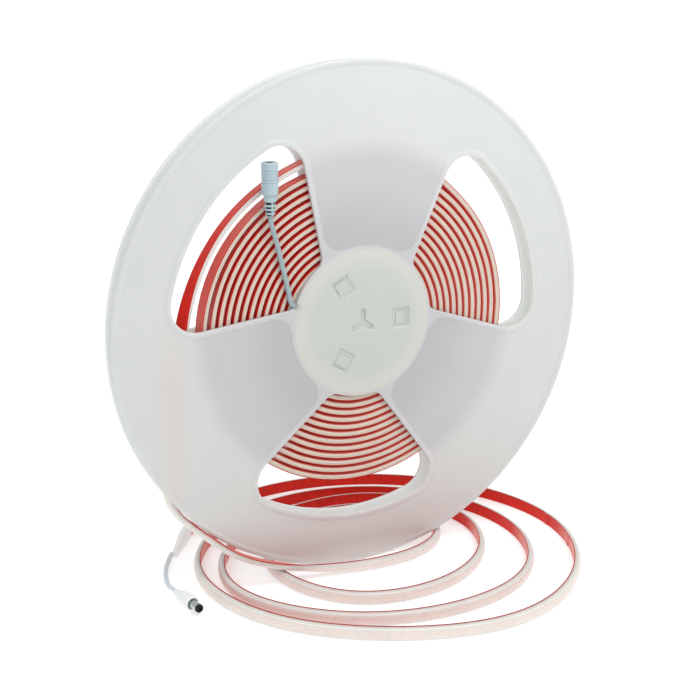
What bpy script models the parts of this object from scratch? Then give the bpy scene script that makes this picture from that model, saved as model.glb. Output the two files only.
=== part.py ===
"""Reel of LED strip light: two snapped reel halves, the wound strip, its free run on the floor and its two leads.

World frame: metres, +Z up. The reel's axis lies along Y, its front flange faces -Y, the floor is z = 0 and the
origin is on the floor under the middle of the reel.
"""
import math

import bmesh
import bpy
import numpy as np
from mathutils import Matrix, Vector

MM = 0.001

# Reel halves
REEL_RADIUS = 165 * MM
FLANGE_GAP = 9.2 * MM
FLANGE_THICKNESS = 1.8 * MM
BEAD_WIDTH = 3.2 * MM
BEAD_RISE = 0.6 * MM
EDGE_ROUND = 0.4 * MM
RIM_FACETS = 72

# Windows of both flanges, and the angle of the first one's middle
WINDOW_COUNT = 3
WINDOW_TURN = math.radians(23.7)
WINDOW_HALF_ANGLE = math.radians(42.6)
WINDOW_APEX = 28 * MM
RIM_BAND = 34.6 * MM
WINDOW_LAND = 1.5 * MM
OUTER_CORNER_RADIUS = 17 * MM
INNER_CORNER_RADIUS = 8 * MM

# Hub
BARREL_RADIUS = 46.3 * MM
BARREL_WALL = 2.2 * MM
HUB_LIP = 1.2 * MM
HUB_RISE = 1.2 * MM
HUB_BEVEL = 0.8 * MM
RING_HEIGHT = 3 * MM
RING_WALL = 1.8 * MM
HUB_FACETS = 48

# Snaps that hold the halves together
SNAP_COUNT = 3
SNAP_CIRCLE = 27.6 * MM
POCKET_SIDE = 13 * MM
POCKET_DEPTH = 1.8 * MM
PRONG_LENGTH = 7 * MM
PRONG_WIDTH = 8.4 * MM
BARB_REACH = 1.5 * MM
BARB_THICKNESS = 1 * MM

# Strip, its liner and the wound coil
STRIP_WIDTH = 8 * MM
BODY_THICKNESS = 3.7 * MM
LINER_THICKNESS = 0.4 * MM
STRIP_SHOULDER = 1.3 * MM
LINER_INSET = 0.4 * MM
DOME_STEPS = 5
TURN_PITCH = 4.97 * MM
TURN_COUNT = 12
TURN_GROOVE = 1.8 * MM
TURN_RIDGE_SHARE = 0.82

# Leads and what is moulded on them
LEAD_DIAMETER = 3 * MM
END_CAP_LENGTH = 34 * MM
END_CAP_WALL = 0.6 * MM
END_CAP_TAIL = 4.8 * MM
END_CAP_RING_POINTS = 16
INNER_CAP_LENGTH = 10.5 * MM
INNER_CAP_WIDTH = 7.4 * MM
INNER_CAP_THICKNESS = 5.6 * MM
INNER_CAP_TURN = math.radians(213)
LEAD_NOTCH_TURN = math.radians(161.5)
LEAD_NOTCH_REACH = 41.2 * MM
LEAD_NOTCH_DEPTH = 3.8 * MM
JACK_DIAMETER = 10.6 * MM
JACK_BODY = 18.5 * MM
JACK_NECK = 14 * MM
JACK_NECK_DIAMETER = 7.6 * MM
JACK_TAIL_DIAMETER = 5.1 * MM
JACK_EDGE = 0.6 * MM
NECK_RIB_COUNT = 3
NECK_RIB_START = 3.1 * MM
NECK_RIB_PITCH = 2.8 * MM
NECK_GROOVE = 0.9 * MM
SOCKET_DIAMETER = 5.8 * MM
SOCKET_DEPTH = 9.5 * MM
PIN_DIAMETER = 2 * MM
PIN_LENGTH = 8 * MM
PLUG_DIAMETER = 9.4 * MM
PLUG_BODY = 13.5 * MM
PLUG_RELIEF = 7 * MM
PLUG_TAIL_DIAMETER = 4.5 * MM
PLUG_EDGE = 0.7 * MM
PLUG_SEAT = 2 * MM
BARREL_PLUG_DIAMETER = 5.5 * MM
BARREL_PLUG_LENGTH = 8.5 * MM
PLUG_TIP_LENGTH = 1.6 * MM
PLUG_TIP_EDGE = 0.3 * MM
PLUG_BORE_DIAMETER = 2.1 * MM

# Clearances
FACE_GAP = 0.3 * MM
FLOOR_GAP = 0.05 * MM
SLIDE_GAP = 0.3 * MM

# Values that follow from the ones above
AXIS_HEIGHT = REEL_RADIUS * math.cos(math.pi / RIM_FACETS)
FLANGE_INNER = FLANGE_GAP / 2
FLANGE_OUTER = FLANGE_INNER + FLANGE_THICKNESS
HUB_TOP = FLANGE_OUTER + HUB_RISE
HUB_RADIUS = BARREL_RADIUS + HUB_LIP
WINDOW_INNER = HUB_RADIUS + WINDOW_LAND
WINDOW_OUTER = REEL_RADIUS - RIM_BAND
COIL_BORE = BARREL_RADIUS + FACE_GAP
COIL_RADIUS = COIL_BORE + TURN_COUNT * TURN_PITCH
STRIP_THICKNESS = BODY_THICKNESS + FACE_GAP + LINER_THICKNESS
LEAD_RADIUS = LEAD_DIAMETER / 2
JACK_ON_COIL = STRIP_WIDTH / 2 + FACE_GAP + JACK_DIAMETER / 2
PLUG_ON_FLOOR = PLUG_DIAMETER / 2 + FLOOR_GAP
END_CAP_HEIGHT = STRIP_WIDTH + 2 * END_CAP_WALL
END_CAP_THICKNESS = STRIP_THICKNESS + 2 * END_CAP_WALL

# Route of the strip's free run, in millimetres from the origin: x, y, z of its middle, and its turn in degrees.
# The turn tells where the strip's edge points: 0 back, 90 left, 180 front, 270 up.
STRIP_ROUTE = [
    (11.4, 0, 273, 0),
    (2.5, 0, 273.6, 0),
    (-26, 0, 270.5, 0),
    (-57, 0, 258.7, 0),
    (-83, 0, 240, 0),
    (-103.5, 0, 213.5, 8),
    (-116.5, 0, 181.2, 30),
    (-122.5, 0, 148, 66),
    (-127.5, 0, 115, 112),
    (-132, 0, 84, 158),
    (-132.3, 0, 68, 174),
    (-126.8, -0.8, 53, 180),
    (-113, -5.5, 38, 182),
    (-92, -10.8, 24, 184),
    (-62, -15.5, 11.8, 192),
    (-28, -21, 5.4, 222),
    (12, -26.2, 4.8, 240),
    (46, -17.5, 4.5, 256),
    (63, 0, 4.2, 266),
    (66, 30, 4.1, 270),
    (18, 66, 4.1, 270),
    (-46, 42, 4.1, 270),
    (-62.5, -14, 4.1, 270),
    (-34, -63, 4.1, 270),
    (22, -71.8, 4.1, 270),
    (74, -39.5, 4.1, 270),
    (91, 20, 4.1, 270),
    (48, 76.5, 4.1, 270),
    (-14, 79.5, 4.1, 270),
    (-77, 41, 4.1, 270),
    (-97.5, -18, 4.1, 270),
    (-62, -77, 4.1, 270),
    (6, -103.5, 4.1, 270),
    (76, -86, 4.1, 270),
    (114, -20, 4.1, 270),
    (90, 60, 4.1, 270),
    (12, 100, 4.1, 270),
    (-66, 77, 4.1, 270),
    (-109.5, 8, 4.1, 270),
    (-94, -63, 4.1, 270),
    (-34, -115, 4.1, 270),
    (44, -132, 4.1, 270),
    (116, -90, 4.1, 270),
    (145.5, -10, 4.1, 270),
    (108, 78, 4.1, 270),
    (20, 123.5, 4.1, 270),
    (-58, 110, 4.1, 270),
    (-85.5, 88, 4.1, 270),
    (-91, 80.5, 4.1, 270),
]
STRIP_STATIONS = 112
REEL_SHARE = 0.16
REEL_STATION_SHARE = 0.25

# Routes of the two leads, in millimetres from the origin
OUTER_LEAD_ROUTE = [
    (-112.9, 53.5, 2.5),
    (-115.2, 50, 2.3),
    (-118.3, 44.9, 1.9),
    (-121.6, 39, 1.6),
    (-124.9, 31.5, 1.55),
    (-127.6, 23.5, 1.55),
    (-129.6, 15, 1.7),
    (-130.7, 7.5, 2.8),
    (-131.0, 1, 4.3),
    (-131.0, -4.5, 4.75),
]
INNER_LEAD_ROUTE = [
    (-29.8, 0, 145.6),
    (-26.6, 0, 147.8),
    (-23.8, 0.1, 152),
    (-23.3, 0.2, 158),
    (-24.6, 0.3, 165),
    (-28.2, 0.4, 171.4),
    (-32.4, 0.4, 175),
    (-35.1, 0.2, 176.7),
    (-37.9, -0.9, 177.6),
    (-40.3, -3.1, 178.4),
    (-42.6, -5, 179.1),
    (-45.3, -6, 180),
    (-48.2, -6.1, 181.5),
    (-50.1, -6.1, 186),
    (-52.2, -6.1, 195.5),
    (-55, -6.3, 207),
    (-58.3, -6.8, 220),
    (-61.2, -8, 229),
    (-63.5, -9.4, 235.5),
    (-63.8, -9.6, 239),
]
OUTER_LEAD_STATIONS = 16
INNER_LEAD_STATIONS = 32
JACK_AXIS_X = -63.9 * MM
PLUG_HEADING = math.radians(-80)


def clear_scene():
    """Remove every object of the open file."""
    for thing in list(bpy.data.objects):
        bpy.data.objects.remove(thing, do_unlink=True)


def make_material(name, colour, roughness, metallic=0.0):
    """Return a Principled material of one colour."""
    material = bpy.data.materials.new(name)
    material.use_nodes = True
    shader = material.node_tree.nodes["Principled BSDF"]
    shader.inputs["Base Color"].default_value = (*colour, 1.0)
    shader.inputs["Roughness"].default_value = roughness
    shader.inputs["Metallic"].default_value = metallic
    return material


def add_object(name, data, material, parent=None):
    """Put mesh or curve data into the scene as a named object."""
    thing = bpy.data.objects.new(name, data)
    bpy.context.collection.objects.link(thing)
    thing.parent = parent
    if material is not None:
        data.materials.append(material)
    return thing


def mesh_from(bm, name, smooth=True):
    """Close, orient and shade a bmesh, and turn it into mesh data."""
    bmesh.ops.remove_doubles(bm, verts=bm.verts, dist=0.001 * MM)
    bmesh.ops.recalc_face_normals(bm, faces=bm.faces)
    mesh = bpy.data.meshes.new(name)
    bm.to_mesh(mesh)
    bm.free()
    if smooth:
        mesh.shade_smooth()
        mesh.set_sharp_from_angle(angle=math.radians(35))
    return mesh


def turned_mesh(name, profile, facets):
    """Spin a closed outline of (radius, height) points about the local Z axis."""
    bm = bmesh.new()
    turn = Matrix.Rotation(math.pi / facets, 3, "Z")
    points = [bm.verts.new(turn @ Vector((radius, 0, height))) for radius, height in profile]
    edges = [bm.edges.new((a, b)) for a, b in zip(points, points[1:] + points[:1]) if a.co.xy.length or b.co.xy.length]
    bmesh.ops.spin(
        bm, geom=points + edges, axis=(0, 0, 1), cent=(0, 0, 0), angle=math.tau, steps=facets, use_merge=False
    )
    return mesh_from(bm, name)


def box_mesh(name, boxes):
    """Return one mesh of boxes, each given as a size, a middle and a turn about Z of that middle."""
    bm = bmesh.new()
    for size, middle, turn in boxes:
        place = Matrix.Rotation(turn, 4, "Z") @ Matrix.Translation(middle) @ Matrix.Diagonal((*size, 1))
        bmesh.ops.create_cube(bm, size=1, matrix=place)
    return mesh_from(bm, name, smooth=False)


def helper(name, mesh, parent):
    """Add a hidden object that only joins or cuts another one."""
    thing = add_object(name, mesh, None, parent)
    thing.hide_render = True
    thing.display_type = "WIRE"
    return thing


def combine(target, tool, operation):
    """Add an exact Boolean of the tool to the target."""
    modifier = target.modifiers.new(tool.name, "BOOLEAN")
    modifier.operation = operation
    modifier.solver = "EXACT"
    modifier.object = tool


def arc(middle, radius, start, end, steps, with_end=False):
    """Return points along an arc, without its last point unless asked."""
    count = steps + 1 if with_end else steps
    angles = [start + (end - start) * i / steps for i in range(count)]
    return [(middle[0] + radius * math.cos(a), middle[1] + radius * math.sin(a)) for a in angles]


def corner_middle(radius, reach):
    """Return the middle of a window corner: radius inside the straight side, and reach from the reel's axis."""
    sine, cosine = math.sin(WINDOW_HALF_ANGLE), math.cos(WINDOW_HALF_ANGLE)
    root = (WINDOW_APEX * cosine) ** 2 - WINDOW_APEX**2 - 2 * WINDOW_APEX * radius * sine - radius**2 + reach**2
    along = math.sqrt(root) - WINDOW_APEX * cosine
    return WINDOW_APEX + along * cosine + radius * sine, along * sine - radius * cosine


def window_outline(spread):
    """Return one window's outline about the local X axis, grown by spread into the flange around it."""
    outer = corner_middle(OUTER_CORNER_RADIUS, WINDOW_OUTER - OUTER_CORNER_RADIUS)
    inner = corner_middle(INNER_CORNER_RADIUS, WINDOW_INNER + INNER_CORNER_RADIUS)
    outer_angle = math.atan2(outer[1], outer[0])
    inner_angle = math.atan2(inner[1], inner[0])
    side = WINDOW_HALF_ANGLE + math.pi / 2
    outer_radius = OUTER_CORNER_RADIUS + spread
    inner_radius = INNER_CORNER_RADIUS + spread
    points = arc((0, 0), WINDOW_OUTER + spread, -outer_angle, outer_angle, 12)
    points += arc(outer, outer_radius, outer_angle, side, 6, with_end=True)
    points += arc(inner, inner_radius, side, inner_angle + math.pi, 5)
    points += arc((0, 0), WINDOW_INNER - spread, inner_angle, -inner_angle, 5)
    points += arc((inner[0], -inner[1]), inner_radius, -inner_angle - math.pi, -side, 5, with_end=True)
    points += arc((outer[0], -outer[1]), outer_radius, -side, -outer_angle, 6)
    return points


def rim_outline(spread):
    """Return the flange's rim, shrunk by spread, with one flat facet at its lowest place."""
    step = math.tau / RIM_FACETS
    start = -math.pi / 2 + step / 2
    return arc((0, 0), REEL_RADIUS - spread, start, start + math.tau, RIM_FACETS)


def turned_outline(outline, turn):
    """Turn a flat outline about the axis."""
    sine, cosine = math.sin(turn), math.cos(turn)
    return [(x * cosine - y * sine, x * sine + y * cosine) for x, y in outline]


def flange_mesh(name, side):
    """Build one flange with its windows and its beaded edges; side is 1 for the front and -1 for the back."""
    bead_top = FLANGE_OUTER + BEAD_RISE
    edge_profile = [
        (0, FLANGE_INNER),
        (0, bead_top - EDGE_ROUND),
        (EDGE_ROUND, bead_top),
        (BEAD_WIDTH - BEAD_RISE, bead_top),
        (BEAD_WIDTH, FLANGE_OUTER),
    ]
    bm = bmesh.new()
    outlines = [rim_outline]
    for index in range(WINDOW_COUNT):
        turn = WINDOW_TURN + index * math.tau / WINDOW_COUNT
        outlines.append(lambda spread, turn=turn: turned_outline(window_outline(spread), turn))
    inner_edges = []
    outer_edges = []
    for outline in outlines:
        rings = [[bm.verts.new((x, y, side * depth)) for x, y in outline(spread)] for spread, depth in edge_profile]
        for low, high in zip(rings, rings[1:]):
            for i in range(len(low)):
                bm.faces.new((low[i - 1], low[i], high[i], high[i - 1]))
        inner_edges += [bm.edges.get((rings[0][i - 1], rings[0][i])) for i in range(len(rings[0]))]
        outer_edges += [bm.edges.get((rings[-1][i - 1], rings[-1][i])) for i in range(len(rings[-1]))]
    for edges in (inner_edges, outer_edges):
        bmesh.ops.triangle_fill(bm, use_beauty=True, edges=edges)
    return mesh_from(bm, name)


def hub_core_mesh(name, side, sleeve_radius, sleeve_wall, sleeve_end):
    """Turn the raised hub disc with the sleeve behind it; the sleeve ends at the given depth from the middle."""
    buried = FLANGE_INNER + FLANGE_THICKNESS / 3
    profile = [
        (0, HUB_TOP),
        (HUB_RADIUS - HUB_BEVEL, HUB_TOP),
        (HUB_RADIUS, HUB_TOP - HUB_BEVEL),
        (HUB_RADIUS, buried),
        (sleeve_radius, buried),
        (sleeve_radius, sleeve_end),
        (sleeve_radius - sleeve_wall, sleeve_end),
        (sleeve_radius - sleeve_wall, buried),
        (0, buried),
    ]
    return turned_mesh(name, [(radius, side * depth) for radius, depth in profile], HUB_FACETS)


def around(count):
    """Return the turns of a ring of equal features."""
    return [index * math.tau / count for index in range(count)]


def pocket_boxes():
    """Return the boxes that cut the snap pockets: the recess in the hub disc, and the hole under it."""
    recess_floor = HUB_TOP - POCKET_DEPTH
    over = HUB_RISE
    recess = (POCKET_SIDE, POCKET_SIDE, POCKET_DEPTH + over)
    recess_middle = (SNAP_CIRCLE, 0, recess_floor + (POCKET_DEPTH + over) / 2)
    hole = (PRONG_LENGTH + 2 * SLIDE_GAP, PRONG_WIDTH + 2 * SLIDE_GAP, HUB_TOP)
    hole_middle = (SNAP_CIRCLE, 0, FLANGE_INNER - over + HUB_TOP / 2)
    turns = around(SNAP_COUNT)
    return [(recess, recess_middle, turn) for turn in turns], [(hole, hole_middle, turn) for turn in turns]


def prong_mesh(name):
    """Build the snap prongs of the back half: posts whose barbs catch on the floors of the front pockets."""
    root = -(FLANGE_INNER + FLANGE_THICKNESS / 3)
    catch = HUB_TOP - POCKET_DEPTH + SLIDE_GAP
    tip = catch + BARB_THICKNESS
    inner = SNAP_CIRCLE - PRONG_LENGTH / 2
    outer = SNAP_CIRCLE + PRONG_LENGTH / 2
    outline = [
        (inner, root),
        (outer, root),
        (outer, catch),
        (outer + BARB_REACH, catch),
        (outer + BARB_REACH, catch + BARB_THICKNESS / 3),
        (outer, tip),
        (inner, tip),
    ]
    bm = bmesh.new()
    for turn in around(SNAP_COUNT):
        spin = Matrix.Rotation(turn, 4, "Z")
        points = [bm.verts.new(spin @ Vector((x, -PRONG_WIDTH / 2, z))) for x, z in outline]
        face = bm.faces.new(points)
        grown = bmesh.ops.extrude_face_region(bm, geom=[face])
        moved = [v for v in grown["geom"] if isinstance(v, bmesh.types.BMVert)]
        bmesh.ops.translate(bm, verts=moved, vec=spin @ Vector((0, PRONG_WIDTH, 0)))
    return mesh_from(bm, name, smooth=False)


def cap_slot_boxes(inner, outer):
    """Return the box that cuts the slot of the inner end cap through a sleeve between two radii."""
    margin = 1 * MM
    size = (outer - inner + 2 * margin, INNER_CAP_THICKNESS + 2 * SLIDE_GAP, 2 * (INNER_CAP_WIDTH / 2 + SLIDE_GAP))
    return [(size, ((inner + outer) / 2, 0, 0), INNER_CAP_TURN)]


def build_front_half(reel, material):
    """Build the front reel half: flange, hub disc and barrel, with its pockets, lead notch and cap slot."""
    half = add_object("reel_front_half", flange_mesh("reel_front_half", 1), material, reel)
    core = hub_core_mesh("front_hub_core", 1, BARREL_RADIUS, BARREL_WALL, FACE_GAP - FLANGE_INNER)
    combine(half, helper("front_hub_core", core, reel), "UNION")
    recesses, holes = pocket_boxes()
    combine(half, helper("pocket_recesses", box_mesh("pocket_recesses", recesses), reel), "DIFFERENCE")
    combine(half, helper("pocket_holes", box_mesh("pocket_holes", holes), reel), "DIFFERENCE")
    notch_end = WINDOW_INNER + BEAD_WIDTH
    notch_size = (notch_end - LEAD_NOTCH_REACH, LEAD_DIAMETER + 2 * SLIDE_GAP, HUB_TOP)
    notch_middle = ((notch_end + LEAD_NOTCH_REACH) / 2, 0, FLANGE_INNER - LEAD_NOTCH_DEPTH + HUB_TOP / 2)
    notch = box_mesh("lead_notch", [(notch_size, notch_middle, LEAD_NOTCH_TURN)])
    combine(half, helper("lead_notch", notch, reel), "DIFFERENCE")
    slot = box_mesh("front_cap_slot", cap_slot_boxes(BARREL_RADIUS - BARREL_WALL, BARREL_RADIUS))
    combine(half, helper("front_cap_slot", slot, reel), "DIFFERENCE")
    return half


def build_back_half(reel, material):
    """Build the back reel half: flange, hub disc, locating ring and snap prongs."""
    half = add_object("reel_back_half", flange_mesh("reel_back_half", -1), material, reel)
    ring_radius = BARREL_RADIUS - BARREL_WALL - SLIDE_GAP
    core = hub_core_mesh("back_hub_core", -1, ring_radius, RING_WALL, FLANGE_INNER - RING_HEIGHT)
    combine(half, helper("back_hub_core", core, reel), "UNION")
    combine(half, helper("snap_prongs", prong_mesh("snap_prongs"), reel), "UNION")
    slot = box_mesh("back_cap_slot", cap_slot_boxes(ring_radius - RING_WALL, ring_radius))
    combine(half, helper("back_cap_slot", slot, reel), "DIFFERENCE")
    return half


def build_coil(reel, material):
    """Turn the wound strip: a ring whose ends show one ridge for each turn."""
    edge = STRIP_WIDTH / 2
    front = [(COIL_BORE, edge - TURN_GROOVE)]
    for index in range(TURN_COUNT):
        ridge = COIL_BORE + (index + TURN_RIDGE_SHARE) * TURN_PITCH
        seam = COIL_BORE + (index + 1) * TURN_PITCH
        front += [(ridge, edge), (seam, edge - TURN_GROOVE)]
    back = [(radius, -height) for radius, height in reversed(front)]
    mesh = turned_mesh("strip_coil", front + back, HUB_FACETS)
    return add_object("strip_coil", mesh, material, reel)


def smooth_route(route, shares):
    """Read rows at the given shares of its length from the natural cubic curve through the rows of a route."""
    rows = np.array(route, float)
    lengths = np.linalg.norm(np.diff(rows[:, :3], axis=0), axis=1)
    knots = np.concatenate([[0.0], np.cumsum(lengths)])
    count = len(rows)
    system = np.zeros((count, count))
    wanted = np.zeros_like(rows)
    system[0, 0] = system[-1, -1] = 1.0
    for i in range(1, count - 1):
        before, after = lengths[i - 1], lengths[i]
        system[i, i - 1 : i + 2] = before, 2 * (before + after), after
        wanted[i] = 6 * ((rows[i + 1] - rows[i]) / after - (rows[i] - rows[i - 1]) / before)
    bends = np.linalg.solve(system, wanted)
    result = []
    for place in np.asarray(shares) * knots[-1]:
        i = min(int(np.searchsorted(knots, place, side="right")) - 1, count - 2)
        span = lengths[i]
        a, b = (knots[i + 1] - place) / span, (place - knots[i]) / span
        bend = ((a**3 - a) * bends[i] + (b**3 - b) * bends[i + 1]) * span**2 / 6
        result.append(a * rows[i] + b * rows[i + 1] + bend)
    return np.array(result)


def strip_frames():
    """Return the strip's middles, edge directions and liner directions along its free run."""
    near = round(STRIP_STATIONS * REEL_STATION_SHARE)
    on_reel = np.linspace(0, REEL_SHARE, near, endpoint=False)
    on_floor = np.linspace(REEL_SHARE, 1, STRIP_STATIONS - near)
    rows = smooth_route(STRIP_ROUTE, np.concatenate([on_reel, on_floor]))
    middles = rows[:, :3] * MM
    turns = np.radians(rows[:, 3])
    flat = turns < math.pi
    edges = np.stack(
        [
            np.where(flat, -np.sin(turns), 0),
            np.cos(turns),
            np.where(flat, 0, -np.sin(turns)),
        ],
        axis=1,
    )
    tangents = np.gradient(middles, axis=0)
    tangents /= np.linalg.norm(tangents, axis=1)[:, None]
    edges -= tangents * np.sum(edges * tangents, axis=1)[:, None]
    edges /= np.linalg.norm(edges, axis=1)[:, None]
    liners = np.cross(edges, tangents)
    reach = np.abs(edges[:, 2]) * STRIP_WIDTH / 2 + np.abs(liners[:, 2]) * STRIP_THICKNESS / 2
    middles[:, 2] = np.maximum(middles[:, 2], reach + FLOOR_GAP)
    return middles, edges, liners


def body_section():
    """Return the jacket's section, across the liner direction and along the edge: a flat back and a domed face."""
    half = STRIP_WIDTH / 2
    back = BODY_THICKNESS - STRIP_THICKNESS / 2
    shoulder = back - STRIP_SHOULDER
    angles = [step * math.pi / DOME_STEPS for step in range(DOME_STEPS + 1)]
    highest = max(math.sin(angle) for angle in angles)
    rise = (BODY_THICKNESS - STRIP_SHOULDER) / highest
    return [(back, -half), (back, half)] + [
        (shoulder - rise * math.sin(angle), half * math.cos(angle)) for angle in angles
    ]


def liner_section():
    """Return the liner's section, a flat band behind the jacket's back."""
    half = STRIP_WIDTH / 2 - LINER_INSET
    back = STRIP_THICKNESS / 2
    front = back - LINER_THICKNESS
    return [(back, -half), (back, half), (front, half), (front, -half)]


def loft_mesh(name, rings):
    """Skin closed rings of points one after another, and close both ends."""
    bm = bmesh.new()
    rows = [[bm.verts.new(point) for point in ring] for ring in rings]
    for low, high in zip(rows, rows[1:]):
        for i in range(len(low)):
            split = (low[i - 1], high[i]) if i < len(low) / 2 else (low[i], high[i - 1])
            for corner in (low[i - 1], low[i], high[i], high[i - 1]):
                if corner not in split:
                    bm.faces.new((*split, corner))
    bm.faces.new(rows[0])
    bm.faces.new(rows[-1])
    return mesh_from(bm, name)


def build_strip(body_material, liner_material):
    """Sweep the strip's free run, and the liner on its back, along the route."""
    middles, edges, liners = strip_frames()
    sections = {
        "strip_run": (body_section(), body_material),
        "strip_run_liner": (liner_section(), liner_material),
    }
    for name, (section, material) in sections.items():
        rings = [
            [middle + across * liner + along * edge for across, along in section]
            for middle, edge, liner in zip(middles, edges, liners)
        ]
        add_object(name, loft_mesh(name, rings), material)
    return middles


def rounded_ring(middle, edge, liner, height, thickness, squareness):
    """Return one ring of a moulded sleeve: from a rounded rectangle down to an ellipse as squareness nears 2."""
    ring = []
    for index in range(END_CAP_RING_POINTS):
        angle = index * math.tau / END_CAP_RING_POINTS
        cosine, sine = math.cos(angle), math.sin(angle)
        across = math.copysign(abs(cosine) ** (2 / squareness), cosine) * thickness / 2
        along = math.copysign(abs(sine) ** (2 / squareness), sine) * height / 2
        ring.append(middle + across * liner + along * edge)
    return ring


def build_end_cap(middles, material):
    """Loft the moulded cap on the strip's free end, tapering to the lead that leaves it."""
    heading = middles[-1] - middles[-2]
    heading[2] = 0
    heading /= np.linalg.norm(heading)
    up = np.array((0, 0, 1.0))
    aside = np.cross(up, heading)
    start = middles[-1] + heading * FACE_GAP
    start[2] = 0
    stations = [
        (0, END_CAP_HEIGHT, END_CAP_THICKNESS, 6),
        (0.38, END_CAP_HEIGHT, END_CAP_THICKNESS, 6),
        (0.55, END_CAP_HEIGHT * 0.86, END_CAP_THICKNESS * 0.95, 4),
        (0.75, END_CAP_HEIGHT * 0.68, END_CAP_THICKNESS * 0.88, 3),
        (1, END_CAP_TAIL, END_CAP_TAIL, 2),
    ]
    rings = []
    for share, height, thickness, squareness in stations:
        middle = start + heading * END_CAP_LENGTH * share + up * (height / 2 + FLOOR_GAP)
        rings.append(rounded_ring(middle, up, aside, height, thickness, squareness))
    return add_object("strip_end_cap", loft_mesh("strip_end_cap", rings), material)


def build_lead(name, route, stations, material):
    """Draw a round lead as a bevelled curve along its route."""
    curve = bpy.data.curves.new(name, "CURVE")
    curve.dimensions = "3D"
    curve.bevel_depth = LEAD_RADIUS
    curve.bevel_resolution = 2
    curve.use_fill_caps = True
    points = smooth_route(route, np.linspace(0, 1, stations)) * MM
    spline = curve.splines.new("POLY")
    spline.points.add(stations - 1)
    for point, place in zip(spline.points, points):
        point.co = (*place, 1)
    return add_object(name, curve, material)


def build_inner_cap(reel, material):
    """Build the cap on the strip's inner end, which stands in the barrel's slot against the coil's bore."""
    outer = COIL_BORE - FACE_GAP
    size = (INNER_CAP_LENGTH, INNER_CAP_THICKNESS, INNER_CAP_WIDTH)
    box = [(size, (outer - INNER_CAP_LENGTH / 2, 0, 0), INNER_CAP_TURN)]
    return add_object("strip_inner_cap", box_mesh("strip_inner_cap", box), material, reel)


def jack_profile():
    """Return the outline of the female jack from its lead end to its mouth, with the grooves of its neck."""
    body = JACK_DIAMETER / 2
    neck = JACK_NECK_DIAMETER / 2
    tail = JACK_TAIL_DIAMETER / 2
    points = [(0, 0), (tail, 0)]
    for index in range(NECK_RIB_COUNT):
        low = NECK_RIB_START + NECK_RIB_PITCH * index
        wall = tail + (neck - tail) * (index + 1) / NECK_RIB_COUNT
        points += [
            (wall, low - NECK_GROOVE),
            (wall, low),
            (wall - NECK_GROOVE, low + NECK_GROOVE / 3),
            (wall - NECK_GROOVE, low + NECK_GROOVE),
        ]
    top = JACK_NECK + JACK_BODY
    points += [
        (neck, NECK_RIB_START + NECK_RIB_PITCH * NECK_RIB_COUNT - NECK_GROOVE),
        (neck, JACK_NECK - 2 * JACK_EDGE),
        (body - JACK_EDGE, JACK_NECK),
        (body, JACK_NECK + JACK_EDGE),
        (body, top - JACK_EDGE),
        (body - JACK_EDGE, top),
        (SOCKET_DIAMETER / 2, top),
        (SOCKET_DIAMETER / 2, top - SOCKET_DEPTH),
        (0, top - SOCKET_DEPTH),
    ]
    return points


def build_jack(material, pin_material):
    """Build the female jack that stands in the window against the coil, and the pin in its socket."""
    foot = INNER_LEAD_ROUTE[-1][2] * MM + FACE_GAP
    jack = add_object("jack_body", turned_mesh("jack_body", jack_profile(), 20), material)
    jack.location = (JACK_AXIS_X, -JACK_ON_COIL, foot)
    floor = JACK_NECK + JACK_BODY - SOCKET_DEPTH + FACE_GAP
    radius = PIN_DIAMETER / 2
    pin_outline = [
        (0, floor),
        (radius, floor),
        (radius, floor + PIN_LENGTH - radius),
        (0, floor + PIN_LENGTH),
    ]
    pin = add_object("jack_pin", turned_mesh("jack_pin", pin_outline, 12), pin_material, jack)
    return jack, pin


def build_plug(body_material, metal_material, tip_material):
    """Build the male plug that lies on the floor: moulded body, metal barrel and insulating tip."""
    start = Vector(OUTER_LEAD_ROUTE[-1]) * MM
    turn = Matrix.Rotation(PLUG_HEADING, 4, "Z") @ Matrix.Rotation(math.pi / 2, 4, "Y")
    length = PLUG_RELIEF + PLUG_BODY
    body = PLUG_DIAMETER / 2
    tail = PLUG_TAIL_DIAMETER / 2
    barrel = BARREL_PLUG_DIAMETER / 2
    body_outline = [
        (0, 0),
        (tail, 0),
        (tail + PLUG_EDGE, PLUG_RELIEF - 3 * PLUG_EDGE),
        (body - PLUG_EDGE, PLUG_RELIEF),
        (body, PLUG_RELIEF + PLUG_BODY / 3),
        (body, length - PLUG_EDGE),
        (body - PLUG_EDGE, length),
        (barrel + FACE_GAP, length),
        (barrel + FACE_GAP, length - PLUG_SEAT),
        (0, length - PLUG_SEAT),
    ]
    plug = add_object("plug_body", turned_mesh("plug_body", body_outline, 24), body_material)
    plug.matrix_world = Matrix.Translation((start.x, start.y, PLUG_ON_FLOOR)) @ turn @ Matrix.Translation(
        (0, 0, FACE_GAP)
    )
    root = length - PLUG_SEAT + FACE_GAP
    rim = length + BARREL_PLUG_LENGTH - PLUG_TIP_LENGTH
    barrel_outline = [(0, root), (barrel, root), (barrel, rim), (0, rim)]
    metal = add_object("plug_barrel", turned_mesh("plug_barrel", barrel_outline, 20), metal_material, plug)
    bore = PLUG_BORE_DIAMETER / 2
    end = rim + PLUG_TIP_LENGTH
    tip_outline = [
        (bore, rim + FACE_GAP),
        (barrel, rim + FACE_GAP),
        (barrel, end - PLUG_TIP_EDGE),
        (barrel - PLUG_TIP_EDGE, end),
        (bore, end),
    ]
    tip = add_object("plug_tip", turned_mesh("plug_tip", tip_outline, 20), tip_material, plug)
    return plug, metal, tip


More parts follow.
